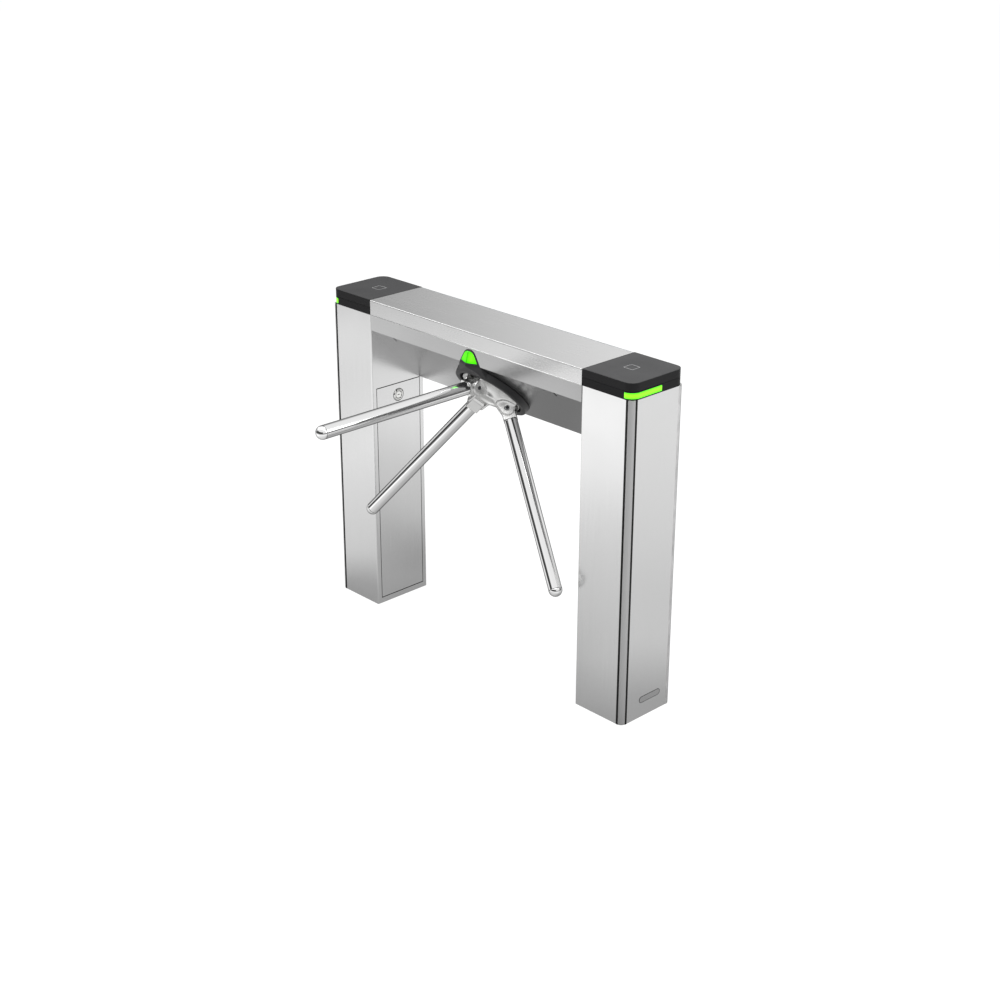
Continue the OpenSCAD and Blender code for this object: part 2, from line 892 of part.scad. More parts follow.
// Cast head: a scooped core with three forks
module rotor_head() {
    color(cast) hub_frame() difference() {
        union() {
            rotate_extrude($fn = 96) polygon(concat(
                [[0, head_foot], [disc_r, head_foot], [disc_r, disc_top + lip_h]],
                [[disc_r - lip_w, disc_top + lip_h], [disc_r - lip_w - lip_h, disc_top]],
                arc([rim_radius + scoop_r, rim_out], scoop_r, 270, 180, 8),
                [[rim_radius - rim_flat, rim_out], [dish_r, dish_out + over], [0, dish_out]]
            ));
            for_arms() for (s = [-1, 1]) translate([s * (fork_half + cheek_t / 2), 0, 0])
                along_x(cheek_t) cheek_outline();
        }
        for_arms() {
            along_x(2 * fork_half) polygon([
                [slot_inner_r, slot_floor],
                [slot_reach, slot_floor],
                [slot_reach, slot_reach],
                [fold_clear - slot_reach, slot_reach],
                [slot_inner_r, fold_clear - slot_inner_r]
            ]);
            translate([0, pivot_r, pivot_out]) rotate([0, 90, 0])
                cylinder(h = 4 * fork_half, r = pivot_pin_r + run_gap, center = true);
        }
        translate([0, 0, head_foot - over])
            cylinder(h = rod_front + rod_room - head_foot + over, r = rod_r + run_gap);
    }
}

// Pivot pins of the three forks
module pivot_pins() {
    color(steel_dark) hub_frame() for_arms() translate([0, pivot_r, pivot_out]) rotate([0, 90, 0])
        cylinder(h = 2 * (fork_half + cheek_t - pin_recess), r = pivot_pin_r, center = true);
}

// Places a thing drawn along Z from the pivot on arm i
module on_arm(i) {
    hub_frame() rotate([0, 0, i * 360 / arm_count])
        translate([0, pivot_r, pivot_out]) rotate([-arm_tilt, 0, 0]) children();
}

// Root of an arm: the knuckle on the pivot pin, the square collar and the spigot in the tube
module arm_root(i) {
    color(cast) on_arm(i) difference() {
        union() {
            rotate([0, 90, 0]) cylinder(h = 2 * root_side, r = arm_r, center = true);
            linear_extrude(root_l) round_rect(-root_side, -root_h / 2, root_side, root_h / 2, root_edge);
            cylinder(h = root_l + spigot_l, r = arm_r - arm_wall - run_gap);
        }
        rotate([0, 90, 0]) cylinder(h = 4 * root_side, r = root_bore_r, center = true);
    }
}

// Tube of an arm with its round end
module arm_tube(i) {
    tip = arm_l - arm_r;
    color(chrome) on_arm(i) rotate_extrude() polygon(concat(
        [[arm_r - arm_wall, root_l], [arm_r, root_l]],
        arc([0, tip], arm_r, 0, 90, 8),
        arc([0, tip], arm_r - arm_wall, 90, 0, 8)
    ));
}

// Mounting plate behind the slanted face
module mounting_plate() {
    color(steel_dark) hub_frame() translate([0, 0, -mount_back]) difference() {
        linear_extrude(mount_t)
            round_rect(-mount_l / 2, -mount_w / 2, mount_l / 2, mount_w / 2, mount_corner_r);
        translate([0, 0, -over]) cylinder(h = mount_t + 2 * over, r = mount_bore_r);
    }
}

// Bearing housing bolted to the mounting plate
module bearing_housing() {
    color(cast) hub_frame() rotate_extrude() polygon([
        [housing_lip_r, -mount_back],
        [housing_flange_r, -mount_back],
        [housing_flange_r, -mount_back - housing_flange_t],
        [housing_r, -mount_back - housing_flange_t],
        [housing_r, -housing_back],
        [bearing_r, -housing_back],
        [bearing_r, -bearing_2],
        [bearing_shoulder_r, -bearing_2],
        [bearing_shoulder_r, -bearing_1 - bearing_w],
        [bearing_r, -bearing_1 - bearing_w],
        [bearing_r, -bearing_1],
        [housing_lip_r, -bearing_1]
    ]);
}

// The two shaft bearings
module shaft_bearings() {
    color(chrome) hub_frame() for (d = [bearing_1, bearing_2])
        translate([0, 0, -d - bearing_w]) difference() {
        cylinder(h = bearing_w, r = bearing_r - run_gap);
        translate([0, 0, -over]) cylinder(h = bearing_w + 2 * over, r = shaft_r + run_gap);
    }
}

// Drive shaft with the flange that carries the head
module drive_shaft() {
    color(steel) hub_frame() difference() {
        union() {
            translate([0, 0, -shaft_back]) cylinder(h = shaft_back, r = shaft_r);
            translate([0, 0, -bearing_1 + fit_gap])
                cylinder(h = bearing_1 - fit_gap + flange_back, r = shoulder_r);
            translate([0, 0, flange_back]) cylinder(h = flange_front - flange_back, r = flange_r);
        }
        translate([0, 0, -shaft_back - over])
            cylinder(h = shaft_back + flange_front + 2 * over, r = rod_r + run_gap);
    }
}

// Index wheel with its notches
module index_wheel() {
    color(steel_dark) hub_frame() translate([0, 0, -index_front - index_t]) difference() {
        union() {
            cylinder(h = index_t, r = index_r);
            cylinder(h = index_t + index_hub_t, r = index_hub_r);
        }
        translate([0, 0, -over]) cylinder(h = index_t + index_hub_t + 2 * over, r = shaft_r + run_gap);
        for (i = [0:notches - 1]) rotate([0, 0, (i + 1 / 2) * 360 / notches])
            translate([0, 0, -over]) linear_extrude(index_t + index_hub_t + 2 * over) polygon([
                [-notch_half, index_r - notch_d],
                [-notch_half - notch_flare, index_r + over],
                [notch_half + notch_flare, index_r + over],
                [notch_half, index_r - notch_d]
            ]);
    }
}

// Involute function of the angle at radius r for base radius b, in degrees
function involute(r, b) = sqrt(r * r / (b * b) - 1) * 180 / PI - acos(b / r);

// Half the angle of a tooth at radius r
function tooth_half(r, teeth, pitch, base) =
    90 / teeth * (1 - backlash_share) + involute(pitch, base) - involute(max(r, base), base);

// Outline of a spur gear with its first tooth at the angle a0
module gear_outline(teeth, a0) {
    pitch = gear_m * teeth / 2;
    base = pitch * cos(pressure);
    root = pitch - gear_m * dedendum_share;
    tip = pitch + gear_m;
    steps = [for (i = [0:2]) max(base, root) + (tip - max(base, root)) * i / 2];
    polygon([for (t = [0:teeth - 1]) each concat(
        [polar(root, a0 + t * 360 / teeth - tooth_half(base, teeth, pitch, base))],
        [for (i = [0:2]) polar(steps[i], a0 + t * 360 / teeth - tooth_half(steps[i], teeth, pitch, base))],
        [for (i = [2:-1:0]) polar(steps[i], a0 + t * 360 / teeth + tooth_half(steps[i], teeth, pitch, base))],
        [polar(root, a0 + t * 360 / teeth + tooth_half(base, teeth, pitch, base))]
    )]);
}

// Point at radius r and angle a
function polar(r, a) = r * [cos(a), sin(a)];

// Gear on the shaft that drives the damper
module damper_gear() {
    color(brass) hub_frame() translate([0, 0, -gear_back]) difference() {
        union() {
            linear_extrude(gear_t) gear_outline(gear_teeth, 90);
            cylinder(h = gear_t + over, r = gear_boss_r);
        }
        translate([0, 0, -over]) cylinder(h = gear_t + 3 * over, r = shaft_r + run_gap);
    }
}

// Pinion on the damper's spindle
module damper_pinion() {
    color(steel_dark) hub_frame() translate([0, gear_centres, -gear_back]) union() {
        linear_extrude(gear_t) gear_outline(pinion_teeth, 270 + 180 / pinion_teeth);
        translate([0, 0, gear_back - bridge_back - damper_shaft_l])
            cylinder(h = bridge_back + damper_shaft_l - gear_back, r = damper_shaft_r);
    }
}

// Body of the rotary damper on the bridge plate
module rotary_damper() {
    color(black) hub_frame() translate([0, gear_centres, -bridge_back - damper_l]) difference() {
        union() {
            cylinder(h = damper_l, r = damper_r);
            translate([0, 0, damper_l - damper_ear_t]) linear_extrude(damper_ear_t) {
                translate([-damper_r - damper_ear_r, -damper_ear_r])
                    square([2 * (damper_r + damper_ear_r), 2 * damper_ear_r]);
                for (s = [-1, 1]) translate([s * (damper_r + damper_ear_r), 0]) circle(damper_ear_r);
            }
        }
        translate([0, 0, damper_l - damper_shaft_l - over])
            cylinder(h = damper_shaft_l + 2 * over, r = damper_shaft_r + run_gap);
    }
}

// Bridge plate behind the gears
module bridge_plate() {
    color(steel_dark) hub_frame() translate([0, 0, -bridge_back]) difference() {
        linear_extrude(bridge_t)
            round_rect(-bridge_half_l, -bridge_down, bridge_half_l, bridge_up, bridge_corner_r);
        translate([0, 0, -over]) cylinder(h = bridge_t + 2 * over, r = rod_r + slide_gap);
        translate([0, gear_centres, -over]) cylinder(h = bridge_t + 2 * over, r = damper_shaft_r + slide_gap);
    }
}

// Posts between the mounting plate and the bridge plate: the upper two carry the pawls
module bridge_posts() {
    color(steel) hub_frame() both_sides() {
        translate([lower_post_x, lower_post_y, -bridge_front])
            cylinder(h = bridge_front - mount_back, r = bridge_post_r);
        translate([pawl_x, pawl_y, -bridge_front]) cylinder(h = bridge_front - mount_back, r = pawl_post_r);
        translate([pawl_x, pawl_y, -pawl_front + fit_gap])
            cylinder(h = pawl_front - fit_gap - mount_back, r = pawl_hub_r - over);
    }
}

// A pawl in its released place, with the pin that the plunger moves
module pawl() {
    color(steel) hub_frame() translate([pawl_x, pawl_y, -pawl_back]) rotate([0, 0, pawl_swing]) difference() {
        union() {
            linear_extrude(pawl_t) {
                circle(pawl_hub_r);
                translate([pawl_foot_x, pawl_foot_y]) circle(pawl_foot_r);
                polygon([
                    [-pawl_neck, 0],
                    [-pawl_neck, -pawl_y + nose_half + nose_rise],
                    [-nose_reach, -pawl_y + nose_half],
                    [-nose_reach, -pawl_y - nose_half],
                    [-pawl_neck, -pawl_y - nose_half - nose_rise],
                    [pawl_foot_x - pawl_foot_r, pawl_foot_y],
                    [pawl_foot_x + pawl_foot_r, pawl_foot_y],
                    [pawl_hub_r, 0]
                ]);
            }
            translate([pawl_foot_x, pawl_foot_y, -link_pin_l])
                cylinder(h = link_pin_l + over, r = link_pin_r);
        }
        translate([0, 0, -over]) cylinder(h = pawl_t + 2 * over, r = pawl_post_r + run_gap);
    }
}

// Plunger with the slotted eye that holds the pawl's pin
module plunger() {
    color(steel) hub_frame() translate([link_x, link_y, -link_out]) difference() {
        union() {
            translate([-eye_half_x, -eye_half_y, -eye_t / 2]) cube([2 * eye_half_x, 2 * eye_half_y, eye_t]);
            rotate([0, 90, 0]) cylinder(h = plunger_l, r = plunger_r);
        }
        linear_extrude(4 * eye_t, center = true) {
            square([2 * eye_slot_half, 2 * (eye_slot_reach - eye_slot_half)], center = true);
            for (s = [-1, 1]) translate([0, s * (eye_slot_reach - eye_slot_half)]) circle(eye_slot_half);
        }
    }
}

// Solenoid that moves a plunger: a steel yoke round a coil
module solenoid() {
    color(black) hub_frame() translate([solenoid_x, link_y, -link_out]) difference() {
        union() {
            for (x = [0, solenoid_l - yoke_t]) translate([x, -solenoid_w / 2, -solenoid_w / 2])
                cube([yoke_t, solenoid_w, solenoid_w]);
            translate([0, -solenoid_w / 2, solenoid_w / 2 - yoke_t]) cube([solenoid_l, solenoid_w, yoke_t]);
            rotate([0, 90, 0]) cylinder(h = solenoid_l, r = solenoid_w / 2 - coil_inset / 4);
        }
        translate([-over, 0, 0]) rotate([0, 90, 0])
            cylinder(h = solenoid_bore_l + over, r = plunger_r + run_gap);
    }
}

// Brackets between the mounting plate and the solenoids
module solenoid_brackets() {
    seat = link_out - solenoid_w / 2;
    color(steel_dark) hub_frame() both_sides() translate([bracket_x, link_y - bracket_w / 2, 0]) {
        translate([0, 0, -mount_back - bracket_t]) cube([bracket_foot, bracket_w, bracket_t]);
        translate([0, 0, -seat]) cube([bracket_t, bracket_w, seat - mount_back]);
        translate([0, 0, -seat]) cube([bracket_seat, bracket_w, bracket_t]);
    }
}

// Solenoid that pulls the release rod
module drop_solenoid() {
    color(black) hub_frame() translate([0, 0, -bridge_back - drop_solenoid_l]) difference() {
        cylinder(h = drop_solenoid_l, r = drop_solenoid_r);
        translate([0, 0, drop_solenoid_l - rod_depth - rod_travel - rod_room])
            cylinder(h = rod_depth + rod_travel + rod_room + over, r = rod_r + run_gap);
    }
}

// Rod through the shaft that frees the arms' latches in the head
module release_rod() {
    color(chrome) hub_frame() translate([0, 0, -bridge_back - rod_depth])
        cylinder(h = bridge_back + rod_depth + rod_front, r = rod_r);
}

// Bracket of the position sensors
module sensor_bracket() {
    color(steel_dark) hub_frame() difference() {
        union() {
            translate([-sensor_bracket_half, sensor_bracket_y, -sensor_bracket_back])
                cube([2 * sensor_bracket_half, sensor_bracket_t, sensor_bracket_back - mount_back]);
            translate([-sensor_bracket_half, sensor_bracket_y - sensor_foot, -mount_back - sensor_bracket_t])
                cube([2 * sensor_bracket_half, sensor_foot + sensor_bracket_t, sensor_bracket_t]);
        }
        for (s = [-1, 1]) sensor_place(s) cylinder(h = 2 * sensor_l, r = sensor_r + run_gap, center = true);
    }
}

// Place of a position sensor, beside the index wheel's rim
module sensor_place(s) {
    translate([s * sensor_pitch / 2, index_r + sensor_gap, -index_front - index_t / 2])
        rotate([-90, 0, 0]) children();
}

// The two position sensors that count the index wheel's notches
module position_sensors() {
    color(brass) hub_frame() for (s = [-1, 1]) sensor_place(s) cylinder(h = sensor_l, r = sensor_r);
}

// Power supply on the left end panel
module power_supply() {
    color(steel_dark) translate([half_l - sheet_t - supply_t, -supply_w / 2, supply_z]) difference() {
        cube([supply_t, supply_w, supply_l]);
        for (i = [0:vent_count - 1])
            translate([-over, (supply_w - vent_l) / 2, supply_l / 2 + (i - (vent_count - 1) / 2) * vent_pitch])
                cube([sheet_t + over, vent_l, sheet_t]);
    }
}

// Control board on the right end panel, with its relays and terminals
module control_board() {
    color(board_green) {
        translate([half_l - sheet_t - standoff_h - board_t, -board_w / 2, board_z]) {
            cube([board_t, board_w, board_h]);
            for (i = [0:relay_count - 1]) translate([-relay_h, standoff_inset, relay_z + i * relay_pitch])
                cube([relay_h + board_t / 2, relay_w, relay_l]);
            translate([-chip_h, (board_w - chip_w) / 2, chip_z])
                cube([chip_h + board_t / 2, chip_w, chip_l]);
            translate([-terminal_h, terminal_y, relay_z])
                cube([terminal_h + board_t / 2, terminal_w, terminal_l]);
        }
        for (y = [-1, 1], z = [standoff_inset, board_h - standoff_inset])
            translate([half_l - sheet_t - standoff_h, y * (board_w / 2 - standoff_inset), board_z + z])
                rotate([0, 90, 0]) cylinder(h = standoff_h, r = standoff_r);
    }
}

left() base_plate();  // left_base_plate
base_plate();  // right_base_plate
left() post_shell();  // left_post_shell
post_shell();  // right_post_shell
left() end_panel();  // left_end_panel
end_panel();  // right_end_panel
corner_strips();
left() door();  // left_door
door();  // right_door
left() lock_ring();  // left_lock_ring
lock_ring();  // right_lock_ring
left() lock_plug();  // left_lock_plug
lock_plug();  // right_lock_plug
left() cap_base();  // left_cap_base
cap_base();  // right_cap_base
left() cap_cover();  // left_cap_cover
cap_cover();  // right_cap_cover
left() light_bar();  // left_light_bar
light_bar();  // right_light_bar
card_readers();
beam_front();
beam_rear();
beam_end_plates();
lid();
lid_hinge_leaf();
beam_hinge_leaf();
hinge_pin();
shroud();
shroud_light();
rotor_head();
pivot_pins();
arm_root(0);  // arm_1_root
arm_tube(0);  // arm_1_tube
arm_root(1);  // arm_2_root
arm_tube(1);  // arm_2_tube
arm_root(2);  // arm_3_root
arm_tube(2);  // arm_3_tube
mounting_plate();
bearing_housing();
shaft_bearings();
drive_shaft();
index_wheel();
damper_gear();
damper_pinion();
rotary_damper();
bridge_plate();
bridge_posts();
pawl();  // entry_pawl
left() pawl();  // exit_pawl
plunger();  // entry_plunger
left() plunger();  // exit_plunger
solenoid();  // entry_solenoid
left() solenoid();  // exit_solenoid
solenoid_brackets();
drop_solenoid();
release_rod();
sensor_bracket();
position_sensors();
left() power_supply();
control_board();
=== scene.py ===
"""Tripod turnstile: a stainless cabinet on two posts, a cast rotor with three drop arms, and green lights.

The sections follow the turnstile as it is put together, one for each piece or group of like pieces.
Lengths are in metres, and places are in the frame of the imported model.
"""

from math import cos, pi, radians, sin, sqrt

import bpy
import numpy as np
from mathutils import Matrix, Vector


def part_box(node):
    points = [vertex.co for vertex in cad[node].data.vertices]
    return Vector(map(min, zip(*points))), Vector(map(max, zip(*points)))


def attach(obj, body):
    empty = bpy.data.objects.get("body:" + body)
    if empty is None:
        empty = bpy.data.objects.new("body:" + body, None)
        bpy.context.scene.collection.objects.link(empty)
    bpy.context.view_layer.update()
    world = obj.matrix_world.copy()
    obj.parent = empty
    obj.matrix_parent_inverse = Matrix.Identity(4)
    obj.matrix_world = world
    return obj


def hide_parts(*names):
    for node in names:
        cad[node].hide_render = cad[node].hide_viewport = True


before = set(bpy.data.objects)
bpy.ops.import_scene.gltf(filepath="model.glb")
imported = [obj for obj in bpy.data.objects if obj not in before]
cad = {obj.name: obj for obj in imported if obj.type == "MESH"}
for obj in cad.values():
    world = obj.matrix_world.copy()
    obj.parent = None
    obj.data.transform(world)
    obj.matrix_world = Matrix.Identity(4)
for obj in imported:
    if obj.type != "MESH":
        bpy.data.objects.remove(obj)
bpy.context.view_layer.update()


# Studio
# A sweep of white paper under soft light. Nothing here belongs to the turnstile. Steel shows what stands
# round it, so in reflections the paper is shaded, in tones that were matched to the photograph.


def srgb(hexa):
    """An sRGB hex colour as linear red, green and blue, with 1 as their alpha.
    A channel over 0.04045 gets 0.055 added, is divided by 1.055 and raised to the power of 2.4.
    A darker one is divided by 12.92."""
    v = np.array([int(hexa[i : i + 2], 16) for i in (1, 3, 5)]) / 255
    return (*np.where(v > 0.04045, ((v + 0.055) / 1.055) ** 2.4, v / 12.92).tolist(), 1.0)


def toned(hexa, share):
    """The linear colour of hexa, with its red, green and blue times share."""
    return (*(c * share for c in srgb(hexa)[:3]), 1)


def node(tree, kind, sockets=None, stops=(), **settings):
    """Adds one node. sockets gives values to its inputs, by name or by number from 0,
    or links outputs into them.
    Inputs 1 to 4 of a Map Range are the range that it reads and the range that it gives.
    stops are a colour ramp's (position, grey or colour), and settings are the node's properties."""
    made = tree.nodes.new(kind)
    for name, value in settings.items():
        setattr(made, name, value)
    for key, value in (sockets or {}).items():
        if isinstance(value, bpy.types.NodeSocket):
            tree.links.new(value, made.inputs[key])
        else:
            made.inputs[key].default_value = value
    if stops:
        points = made.color_ramp.elements
        while len(points) < len(stops):
            points.new(1.0)
        for point, (place, value) in zip(points, stops):
            point.position = place
            point.color = value if isinstance(value, tuple) else (value, value, value, 1)
    return made


def empty_material(name):
    """A material with nothing in its tree but the output."""
    made = bpy.data.materials.new(name)
    made.use_nodes = True
    made.node_tree.nodes.clear()
    out = node(made.node_tree, "ShaderNodeOutputMaterial")
    return made, made.node_tree, out


def new_object(name, verts, faces, smooth=True):
    """An object at the origin, its place in its vertices, from arrays of points and of corner numbers."""
    mesh = bpy.data.meshes.new(name)
    mesh.from_pydata(np.asarray(verts, float).tolist(), [], [list(map(int, f)) for f in faces])
    mesh.validate()
    mesh.polygons.foreach_set("use_smooth", [smooth] * len(mesh.polygons))
    mesh.update()
    made = bpy.data.objects.new(name, mesh)
    bpy.context.scene.collection.objects.link(made)
    return made


floor_half = 30.0
floor_corners = [(x * floor_half, y * floor_half, 0) for x, y in ((-1, -1), (1, -1), (1, 1), (-1, 1))]
paper = new_object("paper_sweep", floor_corners, [(0, 1, 2, 3)], smooth=False)
white_paper, tree, out = empty_material("white_paper")
white_paper.cycles.emission_sampling = "NONE"
path = node(tree, "ShaderNodeLightPath")
spot = node(tree, "ShaderNodeTexCoord")
matt = node(tree, "ShaderNodeBsdfDiffuse", {"Color": srgb("#EEEEEE")})
shine = node(tree, "ShaderNodeEmission", {"Color": srgb("#FFFFFF"), "Strength": 1.25})
seen = node(tree, "ShaderNodeMixShader", {0: 0.62, 1: matt.outputs[0], 2: shine.outputs[0]})

# what steel mirrors: paper with painted shade, grey close to the feet and white further out,
# with painted pools of shade and light on it
furthest = 6.0
brightness = [0.42, 0.44, 0.55, 0.6, 0.66, 0.72, 0.78, 0.84, 0.9, 0.85, 0.86, 0.6, 0.2]
metres_out = [0.0, 0.3, 0.45, 0.6, 0.9, 1.2, 1.5, 1.8, 2.4, 3.0, 3.4, 3.9, 4.8]
far = node(tree, "ShaderNodeVectorMath", {0: spot.outputs["Object"]}, operation="LENGTH")
reach = node(tree, "ShaderNodeMapRange", {0: far.outputs["Value"], 1: 0.0, 2: furthest})
shades = [(m / furthest, value) for m, value in zip(metres_out, brightness)]
tone = node(tree, "ShaderNodeValToRGB", {0: reach.outputs[0]}, shades).outputs[0]
pools = [  # middle x and y, radii at which the pool starts and stops fading, brightness in it
    (0.58, 0.0, 0.12, 0.45, 0.62),
    (-0.55, -0.1, 0.08, 0.3, 0.62),
    (-0.6, 0.45, 0.15, 0.6, 0.38),
    (1.5, 0.95, 0.55, 1.2, 0.84),
    (0.8, 1.15, 0.15, 0.5, 1.35),
    (-1.35, 0.45, 0.1, 0.45, 1.15),
    (-1.1, -1.95, 0.4, 1.2, 1.26),
    (-2.1, -1.3, 0.15, 0.7, 0.83),
    (-3.0, -2.2, 0.2, 0.6, 1.25),
    (-1.7, 1.9, 0.9, 1.2, 0.08),
]
for x, y, full, gone, value in pools:
    about = {"Vector": spot.outputs["Object"], "Location": (-x, -y, 0), "Scale": (1, 1, 0)}
    shifted = node(tree, "ShaderNodeMapping", about)
    off = node(tree, "ShaderNodeVectorMath", {0: shifted.outputs[0]}, operation="LENGTH")
    pool = node(tree, "ShaderNodeMapRange", {0: off.outputs["Value"], 1: full, 2: gone, 3: value, 4: 1.0})
    both = {0: 1.0, 6: tone, 7: pool.outputs[0]}
    tone = node(tree, "ShaderNodeMix", both, data_type="RGBA", blend_type="MULTIPLY").outputs[2]
mirror = node(tree, "ShaderNodeEmission", {"Color": tone, "Strength": 1.2})
by_camera = {0: path.outputs["Is Camera Ray"], 1: matt.outputs[0], 2: seen.outputs[0]}
camera_or_not = node(tree, "ShaderNodeMixShader", by_camera)
by_gloss = {0: path.outputs["Is Glossy Ray"], 1: camera_or_not.outputs[0], 2: mirror.outputs[0]}
final = node(tree, "ShaderNodeMixShader", by_gloss)
tree.links.new(final.outputs[0], out.inputs[0])
paper.data.materials.append(white_paper)

# the world: plain white to the camera, and in reflections a pale sky over a thin dark skyline,
# with a dark wall in front. Each stop is a height, 0 straight down and 1 straight up, and a brightness.
skyline = [
    (0.0, 0.5),
    (0.49, 0.5),
    (0.503, 0.04),
    (0.515, 0.04),
    (0.54, 0.8),
    (0.62, 0.9),
    (0.8, 1.0),
    (1.0, 0.9),
]
front_wall = [(0.0, 1.0), (0.5, 0.08), (0.68, 0.08), (0.71, 1.0)]
world = bpy.data.worlds.new("studio")
world.use_nodes = True
world.cycles.sampling_method = "NONE"
bpy.context.scene.world = world
tree = world.node_tree
tree.nodes.clear()
path = node(tree, "ShaderNodeLightPath")
way = node(tree, "ShaderNodeTexCoord")
parts = node(tree, "ShaderNodeSeparateXYZ", {0: way.outputs["Generated"]})
height = node(tree, "ShaderNodeMapRange", {0: parts.outputs["Z"], 1: -1.0, 2: 1.0})
sky = node(tree, "ShaderNodeValToRGB", {0: height.outputs[0]}, skyline)
sideways = node(tree, "ShaderNodeMapRange", {0: parts.outputs["Y"], 1: -0.62, 2: -0.48, 3: 1.0, 4: 0.0})
wall = node(tree, "ShaderNodeValToRGB", {0: height.outputs[0]}, front_wall)
sky_and_wall = {0: sideways.outputs[0], 6: sky.outputs[0], 7: wall.outputs[0]}
lit = node(tree, "ShaderNodeMix", sky_and_wall, data_type="RGBA", blend_type="MULTIPLY")
plain = node(tree, "ShaderNodeBackground", {"Color": srgb("#FFFFFF"), "Strength": 0.72})
gloss = node(tree, "ShaderNodeBackground", {"Color": lit.outputs[2], "Strength": 1.0})
seen = node(tree, "ShaderNodeBackground", {"Color": srgb("#FFFFFF"), "Strength": 1.05})
by_gloss = {0: path.outputs["Is Glossy Ray"], 1: plain.outputs[0], 2: gloss.outputs[0]}
first = node(tree, "ShaderNodeMixShader", by_gloss)
by_camera = {0: path.outputs["Is Camera Ray"], 1: first.outputs[0], 2: seen.outputs[0]}
second = node(tree, "ShaderNodeMixShader", by_camera)
node(tree, "ShaderNodeOutputWorld", {0: second.outputs[0]})

# A tall card behind the far end, seen only in reflections, shades the lid and the caps:
# dark at the far end, light at the near one.
card_way, card_along = np.array([-sqrt(0.5), sqrt(0.5), 0.0]), np.array([sqrt(0.5), sqrt(0.5), 0.0])
card_out, card_half, card_low, card_high = 2.6, 2.0, 1.32, 3.6
card_corners = [
    (-card_half, card_low),
    (card_half, card_low),
    (card_half, card_high),
    (-card_half, card_high),
]
corners = [card_way * card_out + card_along * along + (0, 0, z) for along, z in card_corners]
card = new_object("reflector_card", corners, [(0, 1, 2, 3)], smooth=False)
card.visible_camera = card.visible_diffuse = card.visible_transmission = card.visible_shadow = False
card_paint, tree, out = empty_material("card_paint")
card_paint.cycles.emission_sampling = "NONE"
spot = node(tree, "ShaderNodeTexCoord")
onto_card = {0: spot.outputs["Object"], 1: tuple(card_along)}
along = node(tree, "ShaderNodeVectorMath", onto_card, operation="DOT_PRODUCT")
light = node(tree, "ShaderNodeMapRange", {0: along.outputs["Value"], 1: -0.6, 2: 0.5, 3: 0.44, 4: 1.0})
paint = node(tree, "ShaderNodeEmission", {"Strength": light.outputs[0]})
tree.links.new(paint.outputs[0], out.inputs[0])
card.data.materials.append(card_paint)


def softbox(name, place, aim, size, watts):
    """A rectangular area light at place, facing aim."""
    data = bpy.data.lights.new(name, "AREA")
    data.shape, data.size, data.size_y, data.energy = "RECTANGLE", size[0], size[1], watts
    lamp = bpy.data.objects.new(name, data)
    lamp.location = place
    lamp.rotation_mode = "QUATERNION"
    lamp.rotation_quaternion = (Vector(aim) - Vector(place)).to_track_quat("-Z", "Y")
    bpy.context.scene.collection.objects.link(lamp)
    lamp.visible_camera = False
    return lamp


softbox("ceiling_softbox", (0.3, -0.4, 3.4), (0, 0, 0.5), (2.6, 2.0), 55)
softbox("side_softbox", (3.2, 1.2, 2.2), (0, 0, 0.6), (1.4, 2.0), 22)
# this one shows only in reflections, as a bright line along the bend of the lid
edge_light = softbox("edge_softbox", (-2.75, -1.7, 3.6), (0, 0, 0.95), (1.5, 1.5), 20)
edge_light.visible_diffuse = False

# The camera stands where the photograph was taken from: 46 degrees round to the right and 23 degrees above.
turn, rise, roll = radians(46.319), radians(23.018), radians(0.117)
aim_point, camera_far = Vector((0.01657, 0, 0.45936)), 4.9643
back = Vector((sin(turn) * cos(rise), -cos(turn) * cos(rise), sin(rise)))
right = Vector((cos(turn), sin(turn), 0))
rolled = cos(roll) * right + sin(roll) * back.cross(right)
facing = Matrix((rolled, back.cross(rolled), back)).transposed().to_4x4()
lens = bpy.data.cameras.new("photo_camera")
lens.lens, lens.sensor_width, lens.clip_end = 62.196, 36.0, 200.0
camera = bpy.data.objects.new("photo_camera", lens)
camera.matrix_world = Matrix.Translation(aim_point + back * camera_far) @ facing
bpy.context.scene.collection.objects.link(camera)
bpy.context.scene.camera = camera
bpy.context.scene.view_settings.view_transform = "Standard"


# Stainless sheet
# Posts, panels, doors, beam and lid are 2 mm sheet of stainless steel (grade 304), folded and brushed
# along their length. Brushing leaves fine parallel scratches that stretch reflections across the grain.


